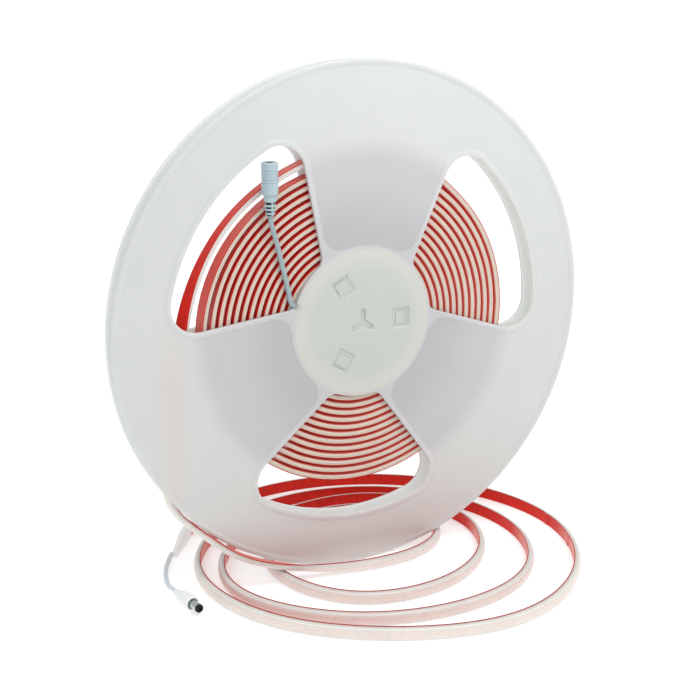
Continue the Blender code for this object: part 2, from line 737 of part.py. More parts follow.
def build_all():
    """Build every piece in its place."""
    clear_scene()
    reel_plastic = make_material("reel_plastic", (0.84, 0.86, 0.84), 0.42)
    wound_strip = make_material("wound_strip", (0.66, 0.3, 0.26), 0.5)
    silicone = make_material("strip_silicone", (0.85, 0.76, 0.71), 0.4)
    liner = make_material("liner_film", (0.72, 0.05, 0.03), 0.35)
    moulding = make_material("white_moulding", (0.82, 0.84, 0.85), 0.4)
    cable = make_material("lead_sheath", (0.74, 0.79, 0.82), 0.4)
    metal = make_material("bright_metal", (0.62, 0.64, 0.64), 0.25, 1.0)
    black = make_material("black_insulator", (0.015, 0.015, 0.016), 0.45)

    reel = bpy.data.objects.new("reel_axis", None)
    bpy.context.collection.objects.link(reel)
    reel.location = (0, 0, AXIS_HEIGHT)
    reel.rotation_euler = (math.pi / 2, 0, 0)

    build_front_half(reel, reel_plastic)
    build_back_half(reel, reel_plastic)
    build_coil(reel, wound_strip)
    middles = build_strip(silicone, liner)
    build_end_cap(middles, moulding)
    build_lead("outer_lead", OUTER_LEAD_ROUTE, OUTER_LEAD_STATIONS, cable)
    build_plug(moulding, metal, black)
    build_inner_cap(reel, moulding)
    build_lead("inner_lead", INNER_LEAD_ROUTE, INNER_LEAD_STATIONS, cable)
    build_jack(moulding, metal)


build_all()
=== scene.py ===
"""Looks of the reel of LED strip light: reel halves, wound strip, free strip, leads and connectors.

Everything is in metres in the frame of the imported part: +Z up, the floor at z = 0, the reel's axis along Y
and its front flange towards -Y.
"""
import logging
import math
from dataclasses import dataclass, field
from enum import Enum
from functools import partial
from typing import Any, Callable, Sequence

import bmesh
import bpy
import numpy as np
from mathutils import Matrix, Vector


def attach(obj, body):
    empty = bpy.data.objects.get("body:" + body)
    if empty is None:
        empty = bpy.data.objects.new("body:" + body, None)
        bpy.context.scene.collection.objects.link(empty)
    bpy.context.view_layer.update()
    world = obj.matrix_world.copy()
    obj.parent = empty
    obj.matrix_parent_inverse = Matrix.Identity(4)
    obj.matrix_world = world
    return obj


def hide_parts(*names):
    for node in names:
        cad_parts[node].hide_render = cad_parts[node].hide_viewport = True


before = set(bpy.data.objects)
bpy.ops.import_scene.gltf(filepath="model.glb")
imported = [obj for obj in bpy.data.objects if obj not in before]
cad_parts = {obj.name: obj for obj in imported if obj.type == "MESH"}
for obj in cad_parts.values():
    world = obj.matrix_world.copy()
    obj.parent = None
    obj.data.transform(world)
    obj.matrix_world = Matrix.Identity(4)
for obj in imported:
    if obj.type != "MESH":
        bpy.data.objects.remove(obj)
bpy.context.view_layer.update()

log = logging.getLogger("strip_light")

MM = 0.001
BODY = "root"
FULL_TURN = math.tau
AXIS_HEIGHT = 165 * MM * math.cos(math.pi / 72)
CREASE = math.radians(35)
TURNED_CREASE = math.radians(40)
ON_AXIS = 0.0001 * MM

Colour = tuple[float, float, float]
Point2 = tuple[float, float]
Point3 = tuple[float, float, float]
Outline = list[Point2]
Grown = Callable[[float], Outline]
Ring = list[bmesh.types.BMVert]
Mesh = bpy.types.Mesh
Piece = bpy.types.Object
Material = bpy.types.Material
Socket = bpy.types.NodeSocket

BLACK: Colour = (0.0, 0.0, 0.0)
WHITE: Colour = (1.0, 1.0, 1.0)


def paint(red: int, green: int, blue: int) -> Colour:
    """Work out a colour from what a screen would show.

    Args:
        red: the red channel, 0 to 255.
        green: the green channel.
        blue: the blue channel.

    Returns:
        The linear colour that a node takes.
    """

    def linear(value: int) -> float:
        """Undo the display curve of one channel."""
        share = value / 255
        return share / 12.92 if share <= 0.04045 else ((share + 0.055) / 1.055) ** 2.4

    return linear(red), linear(green), linear(blue)


class Side(Enum):
    """The two halves of the reel, by the way that their flange faces."""

    FRONT = 1
    BACK = -1


class Net:
    """Adds nodes to one node tree and joins them."""

    def __init__(self, tree: bpy.types.NodeTree) -> None:
        """Keep the tree that the nodes go into."""
        self.tree = tree

    def feed(self, socket: Socket, value: Any) -> None:
        """Join an input to an output, or set its own value.

        Args:
            socket: the input.
            value: an output, or a plain value.
        """
        if isinstance(value, bpy.types.NodeSocket):
            self.tree.links.new(value, socket)
        else:
            socket.default_value = value

    def add(self, kind: str, settings: dict[str, Any] | None = None, **sockets: Any) -> bpy.types.Node:
        """Add one node.

        Args:
            kind: the node's type name.
            settings: the node's own properties.
            **sockets: values or outputs for its inputs, with _ for each space in a name.

        Returns:
            The new node.
        """
        node = self.tree.nodes.new(kind)
        for name, value in (settings or {}).items():
            setattr(node, name, value)
        for name, value in sockets.items():
            self.feed(node.inputs[name.replace("_", " ")], value)
        return node

    def math(self, operation: str, *values: Any) -> Socket:
        """Add a maths node.

        Args:
            operation: what the node works out.
            *values: one to three values or outputs.

        Returns:
            The node's result.
        """
        node = self.add("ShaderNodeMath", {"operation": operation})
        for socket, value in zip(node.inputs, values):
            self.feed(socket, value)
        return node.outputs[0]

    def ease(self, value: Any, start: Any, end: Any, low: Any = 0.0, high: Any = 1.0) -> Socket:
        """Add a smooth change from one number to another.

        Args:
            value: what the change follows.
            start: the value up to which the result is low.
            end: the value from which it is high.
            low: the first result.
            high: the last result.

        Returns:
            The eased number.
        """
        node = self.add("ShaderNodeMapRange", {"interpolation_type": "SMOOTHSTEP"})
        for socket, wanted in zip(node.inputs, (value, start, end, low, high)):
            self.feed(socket, wanted)
        return node.outputs[0]


class Paintwork(Net):
    """The node tree of one material with a Principled shader."""

    def __init__(self, name: str) -> None:
        """Make the material and find its shader.

        Args:
            name: the material's name.
        """
        self.material = bpy.data.materials.new(name)
        self.material.use_nodes = True
        super().__init__(self.material.node_tree)
        self.shader = self.tree.nodes["Principled BSDF"]
        self.place = self.add("ShaderNodeTexCoord").outputs["Object"]

    def noise(self, size: float, detail: float = 3.0, stretch: Sequence[float] = (1, 1, 1)) -> Socket:
        """Add a noise of 0 to 1.

        Args:
            size: how wide its blotches are.
            detail: how much finer noise lies in them.
            stretch: how many times longer they are along each axis.

        Returns:
            The noise.
        """
        mapping = self.add("ShaderNodeMapping", Vector=self.place)
        mapping.inputs["Scale"].default_value = [1 / (size * share) for share in stretch]
        noise = self.add("ShaderNodeTexNoise", Vector=mapping.outputs[0], Scale=1.0, Detail=detail)
        return noise.outputs["Fac"]

    def attribute(self, name: str) -> Socket:
        """Return one of the piece's own attributes."""
        return self.add("ShaderNodeAttribute", {"attribute_name": name}).outputs["Fac"]

    def along(self, axis: str) -> Socket:
        """Return the place along X, Y or Z."""
        return self.add("ShaderNodeSeparateXYZ", Vector=self.place).outputs[axis]

    def from_axis(self) -> Socket:
        """Work out the distance from the reel's axis.

        Returns:
            The distance.
        """
        height = self.math("SUBTRACT", self.along("Z"), AXIS_HEIGHT)
        aside = self.math("POWER", self.along("X"), 2)
        return self.math("SQRT", self.math("MULTIPLY_ADD", height, height, aside))

    def mix(self, share: Any, first: Any, second: Any) -> Socket:
        """Mix two colours.

        Args:
            share: 0 for the first colour, 1 for the second.
            first: a colour or an output.
            second: a colour or an output.

        Returns:
            The mixed colour.
        """
        node = self.add("ShaderNodeMix", {"data_type": "RGBA"})
        self.feed(node.inputs[0], share)
        for socket, colour in ((node.inputs[6], first), (node.inputs[7], second)):
            self.feed(socket, (*colour, 1.0) if isinstance(colour, tuple) else colour)
        return node.outputs[2]

    def let_light_in(self, share: float, tint: Colour, reach: float) -> None:
        """Let light pass under the surface.

        Args:
            share: how much of the light goes in.
            tint: how far each colour goes, as shares of the reach.
            reach: how far the light goes.
        """
        self.shader.inputs["Subsurface Weight"].default_value = share
        self.shader.inputs["Subsurface Radius"].default_value = tint
        self.shader.inputs["Subsurface Scale"].default_value = reach


@dataclass(frozen=True)
class Finish:
    """What every finish shares: its gloss, its mottling and the fine grain of its surface."""

    name: str
    tone: Colour
    roughness: float = 0.4
    roughness_spread: float = 0.08
    mottle: float = 0.04
    mottle_size: float = 14 * MM
    blotch_edge: Point2 = (0.3, 0.7)
    patch_size: float = 2.6
    patch_tone: float = 0.94
    rub_size: float = 1 / 3
    rub_detail: float = 5.0
    grain_size: float = 0.6 * MM
    grain_depth: float = 0.02 * MM
    reflectance: float = 0.5

    def coloured(self, work: Paintwork) -> Socket:
        """Return the colour before it is mottled: one tone, with a faint second one in patches."""
        darker = tuple(channel * self.patch_tone for channel in self.tone)
        return work.mix(work.noise(self.mottle_size * self.patch_size), self.tone, darker)

    def dress(self, work: Paintwork) -> None:
        """Set what only this finish has; the plain one has nothing more."""

    def make(self) -> Material:
        """Build the material.

        Returns:
            The material, with its colour, roughness and bump from nodes.
        """
        work = Paintwork(self.name)
        blotches = work.ease(work.noise(self.mottle_size), *self.blotch_edge, 0.0, self.mottle)
        work.feed(work.shader.inputs["Base Color"], work.mix(blotches, self.coloured(work), BLACK))
        rubbed = work.noise(self.mottle_size * self.rub_size, self.rub_detail)
        low, high = self.roughness - self.roughness_spread, self.roughness + self.roughness_spread
        work.feed(work.shader.inputs["Roughness"], work.ease(rubbed, *self.blotch_edge, low, high))
        grain = work.noise(self.grain_size)
        bump = work.add("ShaderNodeBump", Height=grain, Strength=1.0, Distance=self.grain_depth)
        work.feed(work.shader.inputs["Normal"], bump.outputs[0])
        work.shader.inputs["Specular IOR Level"].default_value = self.reflectance
        self.dress(work)
        return work.material


@dataclass(frozen=True)
class MilkyPlastic(Finish):
    """The reel's milky plastic, with painted shade where the wound strip and the hub lie behind it, painted
    light on its raised land, painted pink light where the loose strip lies behind, and a painted glow on its
    inner faces.
    """

    painted_hub_shade_tone: Colour = paint(193, 199, 192)
    ring_tone: Colour = paint(202, 203, 197)
    painted_coil_shade_inner_tone: Colour = paint(182, 182, 185)
    painted_coil_shade_outer_tone: Colour = paint(193, 193, 196)
    painted_land_light_tone: Colour = paint(222, 223, 224)
    ring_edge: Point2 = (33 * MM, 44 * MM)
    hub_edge: Point2 = (45.5 * MM, 50 * MM)
    land_depth: Point2 = (6.5 * MM, 7.1 * MM)
    painted_land_light_share: float = 0.25
    painted_glow_depth: Point2 = (4.9 * MM, 5.6 * MM)
    painted_glow: float = 0.3
    coil_middle: Point2 = (55 * MM, 95 * MM)
    coil_edge: Point2 = (101 * MM, 120 * MM)
    painted_strip_light_tone: Colour = paint(226, 176, 172)
    strip_middle: float = -129 * MM
    strip_spread: Point2 = (1 * MM, 13 * MM)
    strip_heights: tuple[float, float, float, float] = (45 * MM, 90 * MM, 142.5 * MM, 190 * MM)
    painted_strip_light_share: float = 0.14
    foot_height: Point2 = (5 * MM, 75 * MM)
    painted_loop_light_share: float = 0.1
    light_share: float = 0.6
    light_tint: Colour = (1.0, 0.98, 0.95)
    light_reach: float = 3 * MM

    def painted_strip_light(self, work: Paintwork) -> Socket:
        """Work out where painted pink light from the loose strip lies: beside its way down behind the plate,
        and near the floor where the red loops lie behind.

        Args:
            work: the material's nodes.

        Returns:
            How much painted pink light lies there.
        """
        height = work.along("Z")
        aside = work.math("ABSOLUTE", work.math("SUBTRACT", work.along("X"), self.strip_middle))
        band = work.ease(aside, *self.strip_spread, self.painted_strip_light_share, 0.0)
        start, full, fall, end = self.strip_heights
        band = work.math("MULTIPLY", band, work.ease(height, start, full))
        band = work.math("MULTIPLY", band, work.ease(height, fall, end, 1.0, 0.0))
        return work.math("MAXIMUM", band, work.ease(height, *self.foot_height, self.painted_loop_light_share, 0.0))

    def coloured(self, work: Paintwork) -> Socket:
        """Paint the tone by the distance to the reel's axis: painted shade where the wound strip and the back
        hub lie behind, painted light on the raised land, and painted pink light from the loose strip.

        Args:
            work: the material's nodes.

        Returns:
            The colour before it is mottled.
        """
        distance = work.from_axis()
        depth = work.math("ABSOLUTE", work.along("Y"))
        # painted shade: the plate is painted greyer where the wound strip lies behind it, less so towards the
        # outer turns
        behind = work.mix(work.ease(distance, *self.coil_middle), self.painted_coil_shade_inner_tone, self.painted_coil_shade_outer_tone)
        # painted light: the raised land round the windows and the rim is painted lighter than the panel
        raised = work.ease(depth, *self.land_depth, 0.0, self.painted_land_light_share)
        arm = work.mix(raised, behind, self.painted_land_light_tone)
        # painted shade: greyer over the hub, where the back hub lies behind, easing to a paler ring towards
        # the arms
        hub = work.mix(work.ease(distance, *self.ring_edge), self.painted_hub_shade_tone, self.ring_tone)
        inside = work.mix(work.ease(distance, *self.hub_edge), hub, arm)
        bare = work.mix(work.ease(distance, *self.coil_edge), inside, self.tone)
        # painted light: pink from the loose strip and the red loops behind the plate, mixed over the rest
        return work.mix(self.painted_strip_light(work), bare, self.painted_strip_light_tone)

    def dress(self, work: Paintwork) -> None:
        """Let light through under the surface, and paint a glow on the flanges' inner faces, an emission that
        stands in for the light coming through from behind them.

        Args:
            work: the material's nodes.
        """
        depth = work.math("ABSOLUTE", work.along("Y"))
        # painted glow: emission on the flanges' inner faces stands in for light passing through the plastic
        # from behind
        painted_glow = work.ease(depth, *self.painted_glow_depth, self.painted_glow, 0.0)
        work.feed(work.shader.inputs["Emission Strength"], painted_glow)
        work.shader.inputs["Emission Color"].default_value = (*self.tone, 1)
        work.let_light_in(self.light_share, self.light_tint, self.light_reach)


@dataclass(frozen=True)
class Silicone(Finish):
    """The strip's jacket: milky silicone over a peach light-giving core, with a pale shoulder each side and a
    painted highlight stripe along the dome.
    """

    core_and_painted_reflection_tone: Colour = paint(231, 219, 211)
    shoulder_tone: Colour = paint(216, 213, 208)
    painted_highlight_tone: Colour = paint(233, 231, 227)
    back_tone: Colour = paint(205, 120, 108)
    seam_tone: Colour = paint(170, 148, 136)
    core_and_painted_reflection_reach: Point2 = (0.5, 0.72)
    # painted highlight: where the pale stripe lies across the dome
    line_reach: tuple[float, float, float, float] = (0.71, 0.76, 0.83, 0.89)
    waver: float = 0.12
    waver_size: float = 9 * MM
    dome_depth: Point2 = (0.5, 0.62)
    seam_depths: Point3 = (0.7, 0.75, 0.8)
    wall_reach: Point2 = (0.93, 0.99)
    back_depth: Point2 = (0.96, 0.99)
    light_share: float = 0.15
    light_tint: Colour = (1.0, 0.7, 0.6)
    light_reach: float = 1.0 * MM

    def coloured(self, work: Paintwork) -> Socket:
        """Work out the core's tone in the middle of the domed face, a painted highlight stripe, and the
        shoulder's tone beside it.

        Args:
            work: the material's nodes.

        Returns:
            The colour before it is mottled.
        """
        across = work.math("ABSOLUTE", work.attribute("across"))
        depth = work.attribute("depth")
        wavering = work.math("MULTIPLY_ADD", work.noise(self.waver_size), self.waver, across)
        start, full, fall, end = self.line_reach
        # painted highlight: a pale stripe along the dome, within the bounds given by line_reach
        painted_highlight = work.math("MULTIPLY", work.ease(across, start, full), work.ease(across, fall, end, 1.0, 0.0))
        domed = work.ease(depth, *self.dome_depth, 1.0, 0.0)
        # the peach core on the free strip; on the wound strip the same mask paints the dome red, a painted
        # reflection of the next turn's red liner
        core = work.math("MULTIPLY", work.ease(wavering, *self.core_and_painted_reflection_reach, 1.0, 0.0), domed)
        face = work.mix(core, self.tone, self.core_and_painted_reflection_tone)
        face = work.mix(work.math("MULTIPLY", painted_highlight, domed), face, self.painted_highlight_tone)
        start, middle, end = self.seam_depths
        seam = work.math("MULTIPLY", work.ease(depth, start, middle), work.ease(depth, middle, end, 1.0, 0.0))
        wall = work.mix(seam, self.shoulder_tone, self.seam_tone)
        side = work.mix(work.ease(across, *self.wall_reach), face, wall)
        return work.mix(work.ease(depth, *self.back_depth), side, self.back_tone)

    def dress(self, work: Paintwork) -> None:
        """Let light into the silicone."""
        work.let_light_in(self.light_share, self.light_tint, self.light_reach)


@dataclass(frozen=True)
class LinerFilm(Finish):
    """The red film on the strip's back, paler along its cut edges, with a painted sheen where it is seen at a
    slant.
    """

    edge_tone: Colour = paint(186, 46, 42)
    edge_reach: Point2 = (0.9, 1.0)
    painted_sheen_tone: Colour = paint(232, 148, 136)
    painted_sheen_reach: Point2 = (0.54, 0.8)
    painted_sheen_start: Point2 = (101 * MM, 104.5 * MM)
    painted_sheen_share: float = 0.72
    streak_tone: float = 0.82
    streak_size: float = 5 * MM
    streak_detail: float = 4.0
    streak_stretch: Point3 = (1, 0.4, 1)
    streak_edge: Point2 = (0.35, 0.7)

    def coloured(self, work: Paintwork) -> Socket:
        """Work out red with faint streaks, a painted sheen where it is seen at a slant on the outer turns,
        and the cut edges.

        Args:
            work: the material's nodes.

        Returns:
            The colour before it is mottled.
        """
        deeper = tuple(channel * self.streak_tone for channel in self.tone)
        noise = work.noise(self.streak_size, self.streak_detail, self.streak_stretch)
        streaks = work.mix(work.ease(noise, *self.streak_edge), self.tone, deeper)
        # painted sheen: a salmon tone where the film is seen at a slant, on the outer turns only, standing in
        # for the white backdrop's reflection
        slant = work.add("ShaderNodeLayerWeight", Blend=0.5).outputs["Facing"]
        outside = work.ease(work.from_axis(), *self.painted_sheen_start, 0.0, self.painted_sheen_share)
        painted_sheen = work.math("MULTIPLY", outside, work.ease(slant, *self.painted_sheen_reach))
        sheened = work.mix(painted_sheen, streaks, self.painted_sheen_tone)
        across = work.math("ABSOLUTE", work.attribute("across"))
        return work.mix(work.ease(across, *self.edge_reach), sheened, self.edge_tone)


@dataclass(frozen=True)
class Brushed(Finish):
    """Bright plated metal."""

    def dress(self, work: Paintwork) -> None:
        """Make it metal."""
        work.shader.inputs["Metallic"].default_value = 1.0


def link(name: str, data: bpy.types.ID) -> Piece:
    """Put data into the scene.

    Args:
        name: the new object's name.
        data: its mesh, lamp or camera.

    Returns:
        The object.
    """
    thing = bpy.data.objects.new(name, data)
    bpy.context.scene.collection.objects.link(thing)
    return thing


def mesh_from(name: str, bm: bmesh.types.BMesh) -> Mesh:
    """Turn geometry that has been worked on into a mesh.

    Args:
        name: the mesh's name.
        bm: the geometry, which is freed.

    Returns:
        The mesh.
    """
    mesh = bpy.data.meshes.new(name)
    bm.to_mesh(mesh)
    bm.free()
    return mesh


def settle(thing: Piece) -> Piece:
    """Turn what an object's modifiers make into its plain mesh.

    Args:
        thing: a mesh object at the origin.

    Returns:
        The same object, with no modifiers.
    """
    evaluated = thing.evaluated_get(bpy.context.evaluated_depsgraph_get())
    mesh = bpy.data.meshes.new_from_object(evaluated)
    thing.modifiers.clear()
    thing.data = mesh
    mesh.name = thing.name
    return thing


def face_outwards(mesh: Mesh, join_within: float = 0.001 * MM) -> None:
    """Merge doubled points and turn every face outwards.

    Args:
        mesh: the mesh to mend.
        join_within: how near two points are when they count as one.
    """
    bm = bmesh.new()
    bm.from_mesh(mesh)
    bmesh.ops.remove_doubles(bm, verts=bm.verts, dist=join_within)
    bmesh.ops.recalc_face_normals(bm, faces=bm.faces)
    bm.to_mesh(mesh)
    bm.free()


def put(thing: Piece, material: Material, slot: str, *nodes: str) -> Piece:
    """Finish one piece: its material, its body and the nodes that it stands for.

    Args:
        thing: the piece's object.
        material: its finish.
        slot: the record's slot that the finish stands for; not used.
        *nodes: the frame's nodes that the piece replaces.

    Returns:
        The piece.
    """
    thing.data.materials.clear()
    thing.data.materials.append(material)
    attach(thing, BODY)
    if nodes:
        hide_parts(*nodes)
    log.info("%s: %d faces", thing.name, len(thing.data.polygons))
    return thing


def arc(
    middle: Point2, radius: float, start: float, end: float, steps: int, with_end: bool = False
) -> Outline:
    """Work out points along an arc.

    Args:
        middle: its centre.
        radius: its radius.
        start: the angle of its first point.
        end: the angle of its last point.
        steps: the pieces that it is cut into.
        with_end: whether the last point is kept.

    Returns:
        The points.
    """
    count = steps + 1 if with_end else steps
    angles = [start + (end - start) * index / steps for index in range(count)]
    return [(middle[0] + radius * math.cos(a), middle[1] + radius * math.sin(a)) for a in angles]


def circle(radius: float, steps: int = 144) -> Outline:
    """Return a circle about the axis."""
    return arc((0, 0), radius, 0, FULL_TURN, steps)


def turned(points: Sequence[Point2], angle: float) -> Outline:
    """Turn a flat outline about the axis."""
    sine, cosine = math.sin(angle), math.cos(angle)
    return [(x * cosine - y * sine, x * sine + y * cosine) for x, y in points]


def soften(points: Sequence[Point2], radius: float, steps: int = 4, side_share: float = 0.45) -> Outline:
    """Round the inner corners of an open outline.

    Args:
        points: the outline's corners.
        radius: how far from a corner the rounding starts, at most.
        steps: the pieces of each rounded corner.
        side_share: how much of a side one corner's rounding may take up.

    Returns:
        The softened outline.
    """
    result = [points[0]]
    for before, corner, after in zip(points, points[1:], points[2:]):
        corner_point = Vector(corner)
        ways = [Vector(before) - corner_point, Vector(after) - corner_point]
        reach = min(radius, *(way.length * side_share for way in ways))
        first, last = (corner_point + way.normalized() * reach for way in ways)
        for step in range(steps + 1):
            share = step / steps
            place = first * (1 - share) ** 2 + corner_point * 2 * share * (1 - share) + last * share**2
            result.append((place.x, place.y))
    result.append(points[-1])
    return result


def lathe(name: str, profile: Sequence[Point2], place: Matrix, steps: int = 64) -> Piece:
    """Turn an outline of (radius, height) points about the local Z axis.

    Args:
        name: the new object's name.
        profile: an outline that starts and ends on the axis, or closes on itself.
        place: where the local axes lie.
        steps: the facets round the axis.

    Returns:
        The turned object, with its place in its mesh.
    """
    bm = bmesh.new()
    rings = []
    for radius, height in profile:
        if radius < ON_AXIS:
            rings.append([bm.verts.new((0, 0, height))])
        else:
            rings.append([bm.verts.new((*point, height)) for point in circle(radius, steps)])
    for low, high in zip(rings, rings[1:]):
        for i in range(steps):
            corners = [low[i - 1 if len(low) > 1 else 0], low[i if len(low) > 1 else 0]]
            corners += [high[i if len(high) > 1 else 0], high[i - 1 if len(high) > 1 else 0]]
            unique = list(dict.fromkeys(corners))
            if len(unique) > 2:
                bm.faces.new(unique).smooth = True
    bmesh.ops.recalc_face_normals(bm, faces=bm.faces)
    mesh = mesh_from(name, bm)
    mesh.transform(place)
    mesh.set_sharp_from_angle(angle=TURNED_CREASE)
    return link(name, mesh)


def skin(
    name: str, rings: Sequence[np.ndarray], marks: dict[str, Sequence[float]] | None = None
) -> Piece:
    """Skin closed rings of points one after another, with both ends closed.

    Args:
        name: the new object's name.
        rings: arrays of equal length, one row for each point.
        marks: per-point values of one ring, kept as attributes all along.

    Returns:
        The new object.
    """
    count, size = len(rings), len(rings[0])
    points = np.concatenate(rings)
    first = np.arange(count - 1)[:, None] * size
    here, there = np.arange(size)[None], np.roll(np.arange(size), -1)[None]
    quads = np.stack([first + here, first + there, first + size + there, first + size + here], axis=-1)
    ends = [list(range(size))[::-1], list(range(len(points) - size, len(points)))]
    mesh = bpy.data.meshes.new(name)
    mesh.from_pydata(points.tolist(), [], quads.reshape(-1, 4).tolist() + ends)
    for label, values in (marks or {}).items():
        mark = mesh.attributes.new(label, "FLOAT", "POINT")
        mark.data.foreach_set("value", np.tile(np.asarray(values, np.float32), count))
    face_outwards(mesh, 0.0)
    mesh.shade_smooth()
    mesh.set_sharp_from_angle(angle=CREASE)
    return link(name, mesh)


def smooth_route(route: Sequence[Sequence[float]], shares: np.ndarray) -> np.ndarray:
    """Read the natural cubic curve through the rows of a route.

    Args:
        route: rows that start with a point and may hold further values.
        shares: where to read, as shares of the route's length.

    Returns:
        One row for each share.
    """
    rows = np.array(route, float)
    lengths = np.linalg.norm(np.diff(rows[:, :3], axis=0), axis=1)
    knots = np.concatenate([[0.0], np.cumsum(lengths)])
    count = len(rows)
    system = np.zeros((count, count))
    wanted = np.zeros_like(rows)
    system[0, 0] = system[-1, -1] = 1.0
    for i in range(1, count - 1):
        before, after = lengths[i - 1], lengths[i]
        system[i, i - 1 : i + 2] = before, 2 * (before + after), after
        wanted[i] = 6 * ((rows[i + 1] - rows[i]) / after - (rows[i] - rows[i - 1]) / before)
    bends = np.linalg.solve(system, wanted)
    result = []
    for place in shares * knots[-1]:
        i = min(int(np.searchsorted(knots, place, side="right")) - 1, count - 2)
        span = lengths[i]
        a, b = (knots[i + 1] - place) / span, (place - knots[i]) / span
        bend = ((a**3 - a) * bends[i] + (b**3 - b) * bends[i + 1]) * span**2 / 6
        result.append(a * rows[i] + b * rows[i + 1] + bend)
    return np.array(result)


class Recipe(Net):
    """A geometry node tree with named inputs, which a modifier runs."""

    KINDS = {float: "NodeSocketFloat", int: "NodeSocketInt"}

    def __init__(self, name: str, **inputs: Any) -> None:
        """Make the tree with its geometry, its finish and its number inputs.

        Args:
            name: the tree's name.
            **inputs: each number's first value, with _ for each space in its name.
        """
        super().__init__(bpy.data.node_groups.new(name, "GeometryNodeTree"))
        sockets = self.tree.interface
        sockets.new_socket("Geometry", in_out="INPUT", socket_type="NodeSocketGeometry")
        sockets.new_socket("Geometry", in_out="OUTPUT", socket_type="NodeSocketGeometry")
        self.codes = {}
        for label, value in inputs.items():
            kind = self.KINDS[type(value)]
            made = sockets.new_socket(label.replace("_", " "), in_out="INPUT", socket_type=kind)
            made.default_value = value
            self.codes[label] = made.identifier
        made = sockets.new_socket("Finish", in_out="INPUT", socket_type="NodeSocketMaterial")
        self.codes["Finish"] = made.identifier
        self.given = self.add("NodeGroupInput")

    def value(self, label: str) -> Socket:
        """Return one of the tree's inputs."""
        return self.given.outputs[label]

    def sweep(self, line: Socket, section: Socket) -> Socket:
        """Return a section swept along a line, with its ends filled."""
        swept = self.add("GeometryNodeCurveToMesh", Curve=line, Profile_Curve=section, Fill_Caps=True)
        return swept.outputs[0]

    def repeat(self, points: Socket, **sockets: Any) -> Socket:
        """Return the tree's own geometry on each point, turned or sized by the given inputs."""
        own = self.value("Geometry")
        return self.add("GeometryNodeInstanceOnPoints", Points=points, Instance=own, **sockets).outputs[0]

    def close(self, geometry: Socket) -> None:
        """End the tree: real geometry, smooth shading and the finish.

        Args:
            geometry: what the tree has made.
        """
        real = self.add("GeometryNodeRealizeInstances", Geometry=geometry)
        shaded = self.add("GeometryNodeSetShadeSmooth", Geometry=real.outputs[0])
        look = self.value("Finish")
        finished = self.add("GeometryNodeSetMaterial", Geometry=shaded.outputs[0], Material=look)
        self.add("NodeGroupOutput", Geometry=finished.outputs[0])

    def run(self, thing: Piece, material: Material, **values: Any) -> Piece:
        """Run the tree on an object and keep the result as its plain mesh.

        Args:
            thing: the object whose mesh goes in.
            material: the finish that the tree sets.
            **values: numbers for the named inputs.

        Returns:
            The object, with the new mesh and no modifier.
        """
        modifier = thing.modifiers.new(self.tree.name, "NODES")
        modifier.node_group = self.tree
        modifier[self.codes["Finish"]] = material
        for label, value in values.items():
            modifier[self.codes[label]] = value
        settle(thing)
        face_outwards(thing.data)
        return thing


